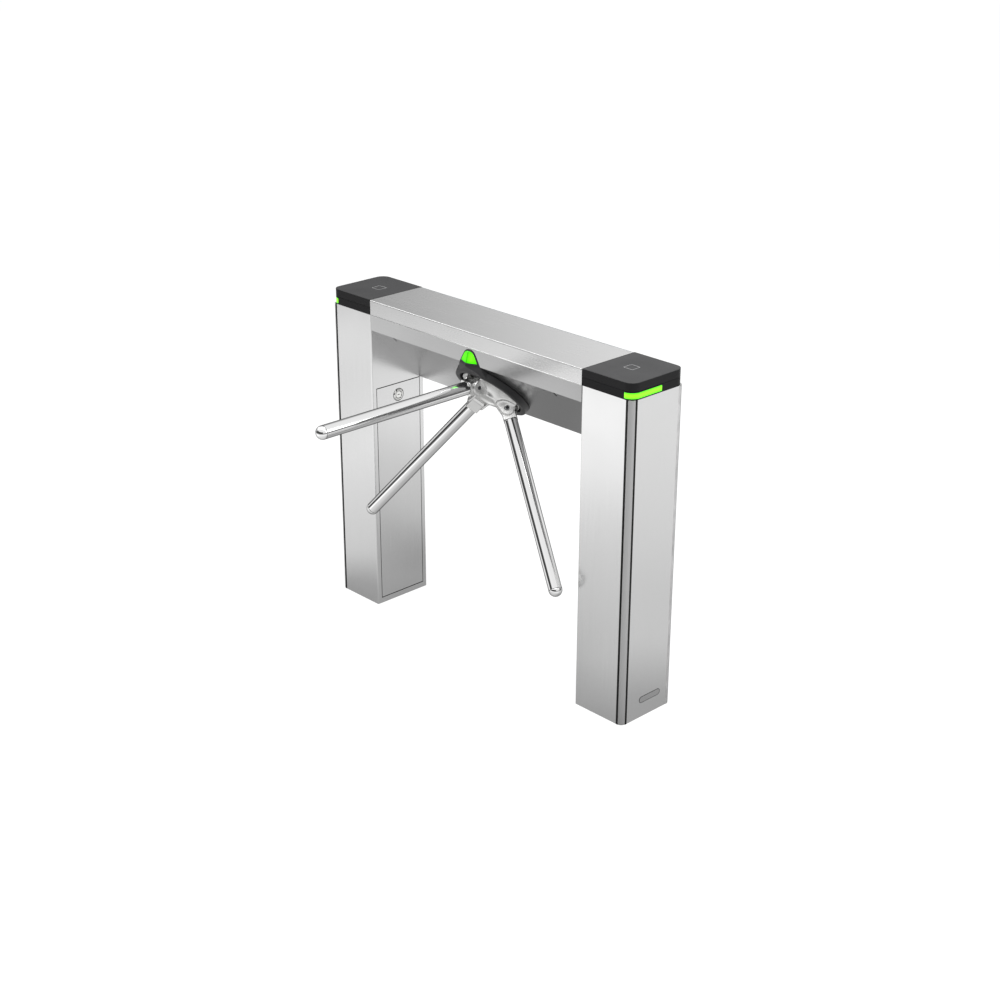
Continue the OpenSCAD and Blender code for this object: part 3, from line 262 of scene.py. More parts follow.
def brushed(name, colour, grain, roughness, stretch=0.55, painted_light_ends=None):
    """Brushed steel: noise drawn out along the axis number grain varies its colour, roughness and height.
    Real scratches are about 0.1 mm apart. They are drawn about 1.5 mm apart, so that they show.
    The factors of the last argument scale the colour at the beam's left and right end, as painted light
    brightening the left end and painted shade darkening the right. It is no property of the steel but a
    correction
    of tone: without it the left end comes out darker than in the photograph."""
    across, along, beam_half = 1 / 0.0015, 1 / 0.16, 0.425
    made, tree, out = empty_material(name)
    spot = node(tree, "ShaderNodeTexCoord")
    scale = [across] * 3
    scale[grain] = along
    lines = node(tree, "ShaderNodeMapping", {"Vector": spot.outputs["Object"], "Scale": scale})
    fine = {"Vector": lines.outputs[0], "Scale": 1.0, "Detail": 3.0, "Roughness": 0.6}
    scratch = node(tree, "ShaderNodeTexNoise", fine)
    cloud = node(tree, "ShaderNodeTexNoise", {"Vector": spot.outputs["Object"], "Scale": 7.0, "Detail": 2.0})
    tones = [(0.25, toned(colour, 0.95)), (0.75, srgb(colour))]
    tone = node(tree, "ShaderNodeValToRGB", {0: scratch.outputs[0]}, tones).outputs[0]
    # painted light and shade: the colour is scaled from the first factor at the beam's left end to the second
    # at its right
    if painted_light_ends:
        parts = node(tree, "ShaderNodeSeparateXYZ", {0: spot.outputs["Object"]})
        ends = {0: parts.outputs["X"], 1: -beam_half, 2: beam_half, 3: painted_light_ends[0], 4: painted_light_ends[1]}
        share = node(tree, "ShaderNodeMapRange", ends)
        both = {0: 1.0, 6: tone, 7: share.outputs[0]}
        tone = node(tree, "ShaderNodeMix", both, data_type="RGBA", blend_type="MULTIPLY").outputs[2]
    dulling = {0: scratch.outputs[0], 1: 0.2, 2: 0.8, 3: roughness - 0.02, 4: roughness + 0.03}
    dull = node(tree, "ShaderNodeMapRange", dulling)
    wipe = node(tree, "ShaderNodeMapRange", {0: cloud.outputs[0], 1: 0.3, 2: 0.7, 3: -0.012, 4: 0.02})
    rough = node(tree, "ShaderNodeMath", {0: dull.outputs[0], 1: wipe.outputs[0]}, operation="ADD")
    scratched = {"Height": scratch.outputs[0], "Strength": 0.03, "Distance": 0.0004}
    relief = node(tree, "ShaderNodeBump", scratched)
    axis = [0.0, 0.0, 0.0]
    axis[grain] = 1.0
    along_grain = node(tree, "ShaderNodeCombineXYZ", {0: axis[0], 1: axis[1], 2: axis[2]})
    steel_sockets = {
        "Base Color": tone,
        "Metallic": 1.0,
        "Roughness": rough.outputs[0],
        "Normal": relief.outputs[0],
        "Anisotropic": stretch,
        "Tangent": along_grain.outputs[0],
    }
    steel = node(tree, "ShaderNodeBsdfPrincipled", steel_sockets)
    tree.links.new(steel.outputs[0], out.inputs[0])
    return made


def dress(material, *names):
    """Puts one material on CAD nodes, in place of the plain one that they come with."""
    for name in names:
        cad[name].data.materials.clear()
        cad[name].data.materials.append(material)


along_x, along_y, along_z = 0, 1, 2
# the same steel throughout, in three copies painted lighter and darker, as painted light and shade:
# its three colours were matched to the photograph's tones
upright_steel = brushed("brushed_304_upright", "#E3E3E3", along_z, 0.19, 0.4)
dress(upright_steel, "left_post_shell", "right_post_shell", "left_end_panel", "right_end_panel")
dress(upright_steel, "left_door", "right_door")
dress(brushed("brushed_304_level", "#D6D6D6", along_x, 0.25), "beam_rear", "lid")
# the beam's front is the darkest copy, as painted shade, and its colour is scaled lighter at the left end and
# darker at the right
dress(brushed("brushed_304_beam", "#AEAEAE", along_x, 0.2, 0.4, (1.3, 0.86)), "beam_front")


# Lid hem
# The lid's front skirt ends in a rolled and polished hem, a half-round bead of the same sheet that laps
# over the gap to the beam. It catches the light as a thin bright line.


def prism(first_ring, last_ring):
    """A closed prism: straight walls between two rings of as many points, and both rings as its ends.
    The rings run anticlockwise seen from beyond the last one."""
    n = len(first_ring)
    i = np.arange(n)
    j = (i + 1) % n
    walls = np.stack([i, j, j + n, i + n], -1).tolist()
    return np.vstack([first_ring, last_ring]), walls + [i[::-1].tolist(), (i + n).tolist()]


hem_r, hem_flat, hem_drop = 0.0013, 0.8, 0.0011
lid_low, lid_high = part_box("lid")
bend = np.linspace(pi / 2, -pi / 2, 9)
hem_y = lid_low.y - np.cos(bend) * hem_r * hem_flat
hem_z = lid_low.z + hem_r - hem_drop + np.sin(bend) * hem_r
hem_ends = [np.column_stack([np.full(len(bend), x), hem_y, hem_z]) for x in (lid_low.x, lid_high.x)]
hem = new_object("lid_hem", *prism(*hem_ends))
# the hem's steel is lighter than the lid's: a painted highlight, on top of the light that its bend catches
# from the edge softbox
hem.data.materials.append(brushed("rolled_304_hem", "#F0F0F0", along_x, 0.3, 0.3))
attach(hem, "lid")


# Corner strips
# The four upright corners are extruded aluminium with a matt anodised skin. A rubber bead fills the groove
# on each side. The two at the rear of the end panels are grey, like the sheet beside them.
dress(brushed("anodised_aluminium", "#C4C4C4", along_z, 0.55, 0.2), "corner_strips")


def rubber(name, colour):
    """Extruded EPDM rubber: matt black or grey with a faint bloom."""
    made, tree, out = empty_material(name)
    spot = node(tree, "ShaderNodeTexCoord")
    bloom = node(tree, "ShaderNodeTexNoise", {"Vector": spot.outputs["Object"], "Scale": 30.0, "Detail": 2.0})
    tones = [(0.3, srgb(colour)), (0.7, toned(colour, 1.5))]
    tone = node(tree, "ShaderNodeValToRGB", {0: bloom.outputs[0]}, tones).outputs[0]
    skin_sockets = {"Base Color": tone, "Roughness": 0.7, "IOR": 1.5, "Specular IOR Level": 0.2}
    skin = node(tree, "ShaderNodeBsdfPrincipled", skin_sockets)
    tree.links.new(skin.outputs[0], out.inputs[0])
    return made


def joined(solids):
    """Several (points, faces) pairs as one pair."""
    starts = np.cumsum([0] + [len(points) for points, _ in solids])
    faces = [[c + first for c in face] for first, (_, faces) in zip(starts, solids) for face in faces]
    return np.vstack([points for points, _ in solids]), faces


# the bead is a flattened arch, 7.6 mm wide: half of it fills the groove and half laps over the start
# of the round strip
bead_half, bead_high, bead_set, bead_off = 0.0038, 0.0024, 0.002, 0.0002
corner, strip_r = 0.6, 0.017
strips_low, strips_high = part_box("corner_strips")
angle = np.linspace(0, pi, 13)
across = np.cos(angle) * bead_half + corner - strip_r - bead_off
proud = np.sin(angle) ** 0.4 * bead_high - bead_set
black_runs, grey_runs = [], []
for reach_x in (-1, 1):
    for reach_y in (-1, 1):
        for on_end in (False, True):
            plan = [across, strips_high.y + proud]
            if on_end:
                plan = [corner + proud, across - corner + strips_high.y]
            plan = np.stack(plan, -1) * (reach_x, reach_y)
            if reach_x * reach_y * (1 if on_end else -1) > 0:
                plan = plan[::-1]
            rings = [np.column_stack([plan, np.full(len(plan), z)]) for z in (strips_low.z, strips_high.z)]
            runs = grey_runs if on_end and reach_y > 0 else black_runs
            runs.append(prism(*rings))
black_rubber, grey_rubber = rubber("epdm_black", "#0E0E0E"), rubber("epdm_grey", "#A8A8A8")
gasket_kinds = (("corner_gaskets", black_runs, black_rubber), ("rear_gaskets", grey_runs, grey_rubber))
for gasket_name, runs, skin in gasket_kinds:
    gaskets = new_object(gasket_name, *joined(runs))
    gaskets.data.materials.append(skin)
    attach(gaskets, "cabinet")


# End plate
# A small pill-shaped plate of anodised aluminium is stuck low on the right end panel.
# Its face is bare, inside a raised rim of dark enamel.


def stadium(half_straight, radius, steps=12):
    """A pill outline in y and z, anticlockwise seen from +x, with its outward directions:
    two half circles joined by straight runs."""
    angle = np.linspace(-pi / 2, pi / 2, steps)
    angle = np.concatenate([angle, angle + pi])
    out_way = np.stack([np.cos(angle), np.sin(angle)], -1)
    shift = np.where(np.arange(2 * steps) < steps, half_straight, -half_straight)
    return np.stack([shift, np.zeros(2 * steps)], -1) + out_way * radius, out_way


def tube(path, profile):
    """A profile carried round a closed path, as points and faces. path is points with their outward and
    upward directions, and profile is (out, up) pairs. Each point of the path, moved by out times its outward
    and up times its upward direction, gives a point of the surface."""
    points, out_way, up_way = path
    verts = points[:, None] + out_way[:, None] * profile[None, :, :1] + up_way[:, None] * profile[None, :, 1:]
    n, m = len(points), len(profile)
    i, j = np.meshgrid(np.arange(n), np.arange(m), indexing="ij")
    k, l = (i + 1) % n, (j + 1) % m
    return verts.reshape(-1, 3), np.stack([i * m + j, k * m + j, k * m + l, i * m + l], -1).reshape(-1, 4)


pill_half_straight, pill_r, rim_half, rim_high, plate_t = 0.0325, 0.0088, 0.0009, 0.001, 0.0005
plate_middle = np.array([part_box("right_end_panel")[1].x, 0.011, 0.053])
pill, pill_out = stadium(pill_half_straight, pill_r)
zeros, ones = np.zeros((len(pill), 1)), np.ones((len(pill), 1))
pill_line = plate_middle + np.hstack([zeros, pill])
angle = np.linspace(0, pi, 7)
rim_arch = np.stack([np.cos(angle) * rim_half, np.sin(angle) * rim_high], -1)
rim_profile = np.vstack([rim_arch, [(-rim_half, -plate_t), (rim_half, -plate_t)]])
rim_path = (pill_line, np.hstack([zeros, pill_out]), np.hstack([ones, 0 * pill]))
rim = new_object("end_plate_rim", *tube(rim_path, rim_profile))
rim.data.materials.append(rubber("enamel_dark_grey", "#3B3B3C"))
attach(rim, "cabinet")
plate_ends = (pill_line - (plate_t, 0, 0), pill_line + (plate_t, 0, 0))
plate = new_object("end_plate", *prism(*plate_ends), smooth=False)
plate.data.materials.append(brushed("anodised_plate", "#C6C6C6", along_y, 0.4, 0.3))
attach(plate, "cabinet")


# Caps
# Each post has a moulded ABS cap in two halves: a dark base and a slightly lighter, smoother cover.
# A satin film over the reader lies on its top, 2.5 mm in from the edge, with a card's outline printed on it.
# The film is lighter than the cap: painted light for the top, which catches more light from above.


def plastic(name, colour, roughness, grit, relief, shine=0.35):
    """Moulded plastic: a fine spark-eroded grain, grit metres across, breaks up its shine as a bump,
    and a faint cloud varies its gloss."""
    made, tree, out = empty_material(name)
    spot = node(tree, "ShaderNodeTexCoord")
    fine = {"Vector": spot.outputs["Object"], "Scale": 1 / grit, "Detail": 2.0}
    grain = node(tree, "ShaderNodeTexNoise", fine)
    cloud = node(tree, "ShaderNodeTexNoise", {"Vector": spot.outputs["Object"], "Scale": 12.0, "Detail": 2.0})
    tones = [(0.3, toned(colour, 0.88)), (0.7, srgb(colour))]
    tone = node(tree, "ShaderNodeValToRGB", {0: grain.outputs[0]}, tones).outputs[0]
    clouded = {0: cloud.outputs[0], 1: 0.3, 2: 0.7, 3: roughness - 0.03, 4: roughness + 0.04}
    rough = node(tree, "ShaderNodeMapRange", clouded)
    bump = node(tree, "ShaderNodeBump", {"Height": grain.outputs[0], "Strength": relief, "Distance": 0.0003})
    skin_sockets = {
        "Base Color": tone,
        "Roughness": rough.outputs[0],
        "IOR": 1.54,
        "Specular IOR Level": shine,
        "Normal": bump.outputs[0],
    }
    skin = node(tree, "ShaderNodeBsdfPrincipled", skin_sockets)
    tree.links.new(skin.outputs[0], out.inputs[0])
    return made


dress(plastic("abs_charcoal", "#222223", 0.45, 0.0012, 0.1, 0.08), "left_cap_base", "right_cap_base")
dress(plastic("abs_charcoal_satin", "#232324", 0.4, 0.0012, 0.06, 0.1), "left_cap_cover", "right_cap_cover")


def round_square(half, corner, steps=10):
    """A square of that half width with quarter circles for corners, as points and outward directions in its
    plane, anticlockwise."""
    angle = np.linspace(0, pi / 2, steps)[None, :] + np.arange(4)[:, None] * pi / 2
    out_way = np.stack([np.cos(angle), np.sin(angle)], -1)
    signs = np.array([[1, 1], [-1, 1], [-1, -1], [1, -1]])[:, None]
    points = signs * (half - corner) + out_way * corner
    return points.reshape(-1, 2), out_way.reshape(-1, 2)


film_t, film_in, cap_r = 0.0002, 0.0025, 0.028
# the film's colour is lighter than the cap's, as painted light on the cap's top
painted_top_light = plastic("film_with_painted_top_light", "#3C3C3D", 0.42, 0.0012, 0.05, 0.12)
film_bend = np.linspace(0, pi / 2, 12)
film_arc = np.stack([np.cos(film_bend), np.sin(film_bend)], -1) * (cap_r - film_in)
for side_name, sign in (("left", -1), ("right", 1)):
    low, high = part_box(f"{side_name}_cap_cover")
    inner_x, outer_x = min(abs(low.x), abs(high.x)) + film_in, max(abs(low.x), abs(high.x)) - film_in
    half_y = high.y - film_in
    arc = film_arc + (outer_x - cap_r + film_in, half_y - cap_r + film_in)
    plan = np.vstack([[(inner_x, -half_y)], arc[::-1] * (1, -1), arc, [(inner_x, half_y)]]) * (sign, 1)
    plan = plan[::sign]
    rings = [np.column_stack([plan, np.full(len(plan), high.z + z)]) for z in (-film_t / 2, film_t / 2)]
    film = new_object(f"{side_name}_reader_film_painted_light", *prism(*rings), smooth=False)
    film.data.materials.append(painted_top_light)
    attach(film, "cabinet")

mark_half, mark_corner, mark_x, mark_y, stroke_half, ink_t = 0.0155, 0.004, 0.504, 0.002, 0.0006, 0.0002
outline, outward = round_square(mark_half, mark_corner)
flat = np.zeros((len(outline), 1))
up = np.tile([0.0, 0.0, 1.0], (len(outline), 1))
stroke = np.array([(-stroke_half, 0), (stroke_half, 0), (stroke_half, ink_t), (-stroke_half, ink_t)])
print_ink = plastic("pad_printed_ink", "#B9B9B9", 0.5, 0.0006, 0.05)
for side_name, sign in (("left", -1), ("right", 1)):
    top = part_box(f"{side_name}_cap_cover")[1].z
    place = np.hstack([outline + [sign * mark_x, mark_y], flat + top])
    mark_path = (place, np.hstack([outward, flat]), up)
    mark = new_object(f"{side_name}_card_mark", *tube(mark_path, stroke), smooth=False)
    mark.data.materials.append(print_ink)
    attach(mark, "cabinet")


# Direction lights
# Light bars wrap the lane-side corner of each cap, and a lens tops the shroud. They are clear green acrylic
# over a light, which is strongest along the middle of each and fades towards its edges.


def lit_acrylic(name, core, edge, low, high, strength, across=None):
    """Lit acrylic: its glow runs from edge to core colour and back between the heights low and high.
    across holds stops, (x in metres, share of the glow), where the glow also changes along x."""
    made, tree, out = empty_material(name)
    spot = node(tree, "ShaderNodeTexCoord")
    parts = node(tree, "ShaderNodeSeparateXYZ", {0: spot.outputs["Object"]})
    share = node(tree, "ShaderNodeMapRange", {0: parts.outputs["Z"], 1: low, 2: high})
    glows = [(0.0, srgb(edge)), (0.3, srgb(core)), (0.7, srgb(core)), (1.0, srgb(edge))]
    glow = node(tree, "ShaderNodeValToRGB", {0: share.outputs[0]}, glows).outputs[0]
    if across:
        first, last = across[0][0], across[-1][0]
        place = node(tree, "ShaderNodeMapRange", {0: parts.outputs["X"], 1: first, 2: last})
        shares = [((x - first) / (last - first), value) for x, value in across]
        facets = node(tree, "ShaderNodeValToRGB", {0: place.outputs[0]}, shares).outputs[0]
        both = {0: 1.0, 6: glow, 7: facets}
        glow = node(tree, "ShaderNodeMix", both, data_type="RGBA", blend_type="MULTIPLY").outputs[2]
    lens_sockets = {
        "Base Color": srgb(edge),
        "Roughness": 0.15,
        "IOR": 1.49,
        "Emission Color": glow,
        "Emission Strength": strength,
    }
    lens_skin = node(tree, "ShaderNodeBsdfPrincipled", lens_sockets)
    tree.links.new(lens_skin.outputs[0], out.inputs[0])
    return made


bar_low, bar_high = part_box("right_light_bar")[0].z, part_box("right_light_bar")[1].z
bar_acrylic = lit_acrylic("acrylic_green_bar", "#9CFF10", "#3FD000", bar_low, bar_high, 1.05)
dress(bar_acrylic, "left_light_bar", "right_light_bar")
# the lens has two facets that meet in a ridge at x = 0. Its glow is painted darker along the ridge, as
# painted shade, and the left facet glows less than the right
left_facet = [(-0.032, 0.5), (-0.012, 0.75), (-0.004, 0.6)]
ridge = [(-0.002, 0.22), (0.002, 0.22)]
right_facet = [(0.005, 0.75), (0.013, 1.3), (0.022, 0.85), (0.032, 0.4)]
lens_low, lens_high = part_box("shroud_light")[0].z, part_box("shroud_light")[1].z
facets = left_facet + ridge + right_facet
lens_acrylic = lit_acrylic("acrylic_green_lens", "#6CFF24", "#3BCB00", lens_low, lens_high, 1.0, facets)
dress(lens_acrylic, "shroud_light")


# Shroud
# The ring round the rotor is moulded in dark polypropylene, with a fin that carries the upper light.
# Its edges are run round, as a mould leaves them.
hub = np.array([0.0, -0.009985, 0.798985])
slope = sqrt(0.5)
# rows: along the beam, up the slanted face, out of it
hub_axes = np.array([[1, 0, 0], [0, -slope, slope], [0, -slope, -slope]])


def run_edges(name, node_name, voxel, rounds, hold, fill=0, melt=None):
    """A copy of a moulded or cast CAD solid with its edges run round, in five steps.
    It is turned into the rotor's frame and remeshed on a grid of voxel metres.
    It is eased: each point moves rounds times towards the mean of its neighbours by the share that
    hold(points) gives, and then a little more back, so flat faces stay put and only edges and corners soften.
    It is filled: for fill rounds a point moves only where that mean lies outside, so inner corners turn
    into fillets.
    It is melted: 40 times every point moves half way to that mean, by the share that melt(points) gives.
    Last, 16 such moves, every fourth of them back, soften the line where melted hollows meet flat faces."""
    source = cad[node_name].data
    loose = np.empty(len(source.vertices) * 3)
    source.vertices.foreach_get("co", loose)
    points, same = np.unique(loose.reshape(-1, 3).round(7), axis=0, return_inverse=True)
    corners = same.ravel()[np.array([p.vertices[:] for p in source.polygons])]
    a, b, c = corners.T
    corners = corners[(a != b) & (b != c) & (a != c)]
    rough = new_object("rough_" + name, (points - hub) @ hub_axes.T, corners)
    grid = rough.modifiers.new("grid", "REMESH")
    grid.mode, grid.voxel_size = "VOXEL", voxel
    made = rough.evaluated_get(bpy.context.evaluated_depsgraph_get()).to_mesh()
    points = np.empty(len(made.vertices) * 3)
    made.vertices.foreach_get("co", points)
    points = points.reshape(-1, 3)
    faces = [p.vertices[:] for p in made.polygons]
    edges = np.empty(len(made.edges) * 2, int)
    made.edges.foreach_get("vertices", edges)
    edges = edges.reshape(-1, 2)
    quads = np.array([f if len(f) == 4 else (*f, f[-1]) for f in faces])
    rough.to_mesh_clear()
    bpy.data.objects.remove(rough)
    a, b = np.concatenate([edges, edges[:, ::-1]]).T
    count = np.bincount(a, minlength=len(points))[:, None]
    free = hold(points)[:, None]

    def moved(points, share):
        """Every point moved by a share of the way to the mean of its neighbours."""
        mean = np.stack([np.bincount(a, points[b, k], len(points)) for k in range(3)], -1) / count
        return points + share * (mean - points)

    for step in [0.6, -0.62] * rounds:
        points = moved(points, step * free)
    # only what lies out of the slanted face and clear of the axis is filled and melted
    out_from, axis_clear, blend = 0.004, 0.024, 0.004
    off_axis = np.hypot(points[:, :1], points[:, 1:2])
    off_face = np.clip((points[:, 2:] - out_from) / blend, 0, 1)
    outside = off_face * np.clip((off_axis - axis_clear) / blend, 0, 1)
    for lap in range(fill):
        if lap % 6 == 0:
            a_to_c = points[quads[:, 2]] - points[quads[:, 0]]
            b_to_d = points[quads[:, 3]] - points[quads[:, 1]]
            face_way = np.cross(a_to_c, b_to_d)
            sums = [
                sum(np.bincount(quads[:, c], face_way[:, k], len(points)) for c in range(4)) for k in range(3)
            ]
            way = np.stack(sums, -1)
            way /= np.linalg.norm(way, axis=1, keepdims=True) + 1e-12
        move = moved(points, 1.0) - points
        lift = np.clip((move * way).sum(1, keepdims=True), 0, None)
        points = points + 0.9 * free * outside * lift * way
    if melt:
        soft = outside * melt(points)[:, None]
        for _ in range(40):
            points = moved(points, 0.5 * soft)
        edge = outside * hold(points)[:, None]
        for step in [0.5, 0.5, 0.5, -0.52] * 4:
            points = moved(points, step * edge)
    return new_object(name, points @ hub_axes + hub, faces)


shroud = run_edges("moulded_shroud", "shroud", 0.0012, 20, lambda p: np.ones(len(p)))
shroud.data.materials.append(plastic("polypropylene_charcoal", "#2B2B2C", 0.42, 0.0012, 0.12))
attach(shroud, "cabinet")
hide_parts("shroud")


# Rotor head
# One aluminium casting: a dished disc with three forks. It is bead blasted to a satin all over.
# The hollows between the forks are smooth, as poured metal is.


def cast(name, colour, roughness, grit):
    """Cast or ground metal: blast dimples grit metres apart as a bump, over slow waves left by the mould,
    blur its shine to a soft satin."""
    made, tree, out = empty_material(name)
    spot = node(tree, "ShaderNodeTexCoord")
    blasted = {"Vector": spot.outputs["Object"], "Scale": 1 / grit, "Detail": 2.0}
    dimple = node(tree, "ShaderNodeTexNoise", blasted)
    wave = node(tree, "ShaderNodeTexNoise", {"Vector": spot.outputs["Object"], "Scale": 25.0, "Detail": 2.0})
    tones = [(0.3, toned(colour, 0.95)), (0.7, srgb(colour))]
    tone = node(tree, "ShaderNodeValToRGB", {0: wave.outputs[0]}, tones).outputs[0]
    dimpled = {0: dimple.outputs[0], 1: 0.3, 2: 0.7, 3: roughness - 0.025, 4: roughness + 0.03}
    rough = node(tree, "ShaderNodeMapRange", dimpled)
    first = node(tree, "ShaderNodeBump", {"Height": wave.outputs[0], "Strength": 0.04, "Distance": 0.001})
    over_it = {"Height": dimple.outputs[0], "Strength": 0.035, "Distance": 0.0003, "Normal": first.outputs[0]}
    second = node(tree, "ShaderNodeBump", over_it)
    metal_sockets = {
        "Base Color": tone,
        "Metallic": 1.0,
        "Roughness": rough.outputs[0],
        "Normal": second.outputs[0],
    }
    metal = node(tree, "ShaderNodeBsdfPrincipled", metal_sockets)
    tree.links.new(metal.outputs[0], out.inputs[0])
    return made


arm_turns = (0, 120, 240)


def clear_of_forks(p, near=0.021, full=0.025):
    """0 within near metres of the middle of an arm's slot, rising to 1 at full metres,
    so that fork faces stay flat."""
    share = np.ones(len(p))
    for degrees in arm_turns:
        up_slope = radians(90 + degrees)
        way = np.array([cos(up_slope), sin(up_slope)])
        along, aside = p[:, :2] @ way, np.abs(p[:, :2] @ (-way[1], way[0]))
        share = np.minimum(share, np.where(along > 0, np.clip((aside - near) / (full - near), 0, 1), 1))
    return share


def between_forks(p):
    """1 on the hollows between the forks, 0 on the fork faces and at the rim of the disc."""
    return clear_of_forks(p, 0.0251, 0.027) * np.clip((0.088 - np.hypot(p[:, 0], p[:, 1])) / 0.006, 0, 1)


casting = cast("cast_aluminium_satin", "#E4E4E3", 0.27, 0.0009)
head = run_edges("cast_head", "rotor_head", 0.0013, 8, clear_of_forks, 60, between_forks)
head.data.materials.append(casting)
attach(head, "rotor")
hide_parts("rotor_head")
dress(casting, "arm_1_root", "arm_2_root", "arm_3_root")
dress(cast("cast_aluminium_raw", "#B8B9BA", 0.45, 0.0012), "bearing_housing")


# Pivot pins
# Each arm turns on a ground steel pin across its fork.
# A black hexagon-socket screw holds the pin at both ends.


def turned(profile, centre, axis, count=24):
    """Points and faces of a closed solid of revolution. profile is rows of (radius, height), from the middle
    of its back round to the middle of its front. Each row between gives a ring: its points lie height along
    the axis and radius out from it, in count equal steps round. The first and last row are the poles."""
    axis = np.asarray(axis, float) / np.linalg.norm(axis)
    u = np.cross(axis, [0.0, 0.0, 1.0] if abs(axis[2]) < 0.9 else [1.0, 0.0, 0.0])
    u /= np.linalg.norm(u)
    v = np.cross(axis, u)
    a = np.arange(count) * 2 * pi / count
    round_way = np.cos(a)[:, None] * u + np.sin(a)[:, None] * v
    profile = np.asarray(profile, float)
    inner = profile[1:-1]
    rings = centre + inner[:, 1, None, None] * axis + inner[:, 0, None, None] * round_way[None]
    ends = [centre + axis * profile[0, 1], centre + axis * profile[-1, 1]]
    i = np.arange(count)
    k = (i + 1) % count
    j = np.arange(len(inner) - 1)[:, None] * count
    walls = np.stack([j + i, j + k, j + count + k, j + count + i], -1).reshape(-1, 4).tolist()
    last, back_pole = (len(inner) - 1) * count, len(inner) * count
    back_fan = [[back_pole, q, p] for p, q in zip(i, k)]
    front_fan = [[back_pole + 1, last + p, last + q] for p, q in zip(i, k)]
    return np.vstack([rings.reshape(-1, 3), ends]), walls + back_fan + front_fan


def screw_head(radius, high, socket, deep):
    """Profile of a cap screw's head with a socket: radius and height of its corners, with the top edge
    slightly rounded."""
    soft = 0.12 * radius
    rounding = [(radius, high - soft), (radius - 0.3 * soft, high - 0.3 * soft), (radius - soft, high)]
    return [(0, 0), (radius, 0), *rounding, (socket, high), (socket * 0.98, high - deep), (0, high - deep)]


def on_head(turn_deg, x, y, out_way):
    """A point of the rotor's frame, turned turn_deg about the axis, in the frame of the model."""
    c, s = cos(radians(turn_deg)), sin(radians(turn_deg))
    return hub + np.array([x * c - y * s, x * s + y * c, out_way]) @ hub_axes


def head_way(turn_deg, x, y, out_way):
    """A direction of the rotor's frame, turned as on_head does it."""
    return on_head(turn_deg, x, y, out_way) - hub


pivot_r, pivot_out, fork_face = 0.070, 0.037, 0.0245
pin_screw = screw_head(0.0046, 0.0012, 0.0026, 0.001)
# black oxide on the pin screws; the locks' key slots use it too, as painted shade
black_oxide_and_slot_shade = cast("black_oxide_steel_and_slot_shade", "#4A4A4C", 0.4, 0.0012)
heads = [
    turned(pin_screw, on_head(turn_deg, sign * fork_face, pivot_r, pivot_out), head_way(turn_deg, sign, 0, 0))
    for turn_deg in arm_turns
    for sign in (-1, 1)
]
pin_screws = new_object("pivot_screws", *joined(heads))
pin_screws.data.materials.append(black_oxide_and_slot_shade)
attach(pin_screws, "rotor")


# Arms
# 38 mm stainless tube, polished to a mirror, with a domed plug pressed into its end.
# A thin dark seam shows where the tube meets its collar and its plug.


def polished(name, colour, roughness):
    """Polished metal: it mirrors what stands round it, nearly evenly, with a faint haze in its gloss."""
    made, tree, out = empty_material(name)
    spot = node(tree, "ShaderNodeTexCoord")
    haze = node(tree, "ShaderNodeTexNoise", {"Vector": spot.outputs["Object"], "Scale": 40.0, "Detail": 3.0})
    hazed = {0: haze.outputs[0], 1: 0.3, 2: 0.7, 3: roughness, 4: roughness + 0.03}
    rough = node(tree, "ShaderNodeMapRange", hazed)
    metal_sockets = {
        "Base Color": srgb(colour),
        "Metallic": 1.0,
        "Roughness": rough.outputs[0],
        "Specular Tint": srgb("#707070"),
    }
    metal = node(tree, "ShaderNodeBsdfPrincipled", metal_sockets)
    tree.links.new(metal.outputs[0], out.inputs[0])
    return made


chrome = polished("polished_304", "#EDEDED", 0.05)
dress(chrome, "arm_1_tube", "arm_2_tube", "arm_3_tube")

# lean is how far an arm leans up the slanted face and out of it: its way is at 45 degrees to the shaft
arm_l, arm_r, root_l, lean = 0.5476, 0.019, 0.030, sqrt(0.5)
seam_deep, seam_proud, seam_half, seam_gap = 0.0006, 0.00008, 0.0005, 0.0007
plug_gap, plug_proud = 0.0006, 0.0001
seam_places = (root_l + seam_gap, arm_l - arm_r)
seam_corners = [
    (-seam_deep, -seam_half),
    (seam_proud, -seam_half),
    (seam_proud, seam_half),
    (-seam_deep, seam_half),
]
seam_profile = np.array(seam_corners)
angle = np.arange(48) * 2 * pi / 48
bend = np.linspace(0, pi / 2, 20)
dome_r = arm_r + plug_proud
dome = [(0, 0.0), *zip(np.cos(bend) * dome_r, np.sin(bend) * dome_r)]
dome[-1] = (0, dome_r)
sealant = rubber("seam_sealant", "#1E1E1E")
for number, turn_deg in enumerate(arm_turns, start=1):
    pivot, way = on_head(turn_deg, 0, pivot_r, pivot_out), head_way(turn_deg, 0, lean, lean)
    u = head_way(turn_deg, 1, 0, 0)
    v = np.cross(way, u)
    round_way = np.cos(angle)[:, None] * u + np.sin(angle)[:, None] * v
    ways = np.tile(way, (len(angle), 1))
    around = pivot + round_way * arm_r
    seams = [tube((around + way * along, round_way, ways), seam_profile) for along in seam_places]
    plug_solid = turned(dome, pivot + way * (arm_l - arm_r + plug_gap), way, 64)
    plug = new_object(f"arm_{number}_end_plug", *plug_solid)
    plug.data.materials.append(chrome)
    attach(plug, f"arm_{number}")
    seam = new_object(f"arm_{number}_seams", *joined(seams))
    seam.data.materials.append(sealant)
    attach(seam, f"arm_{number}")


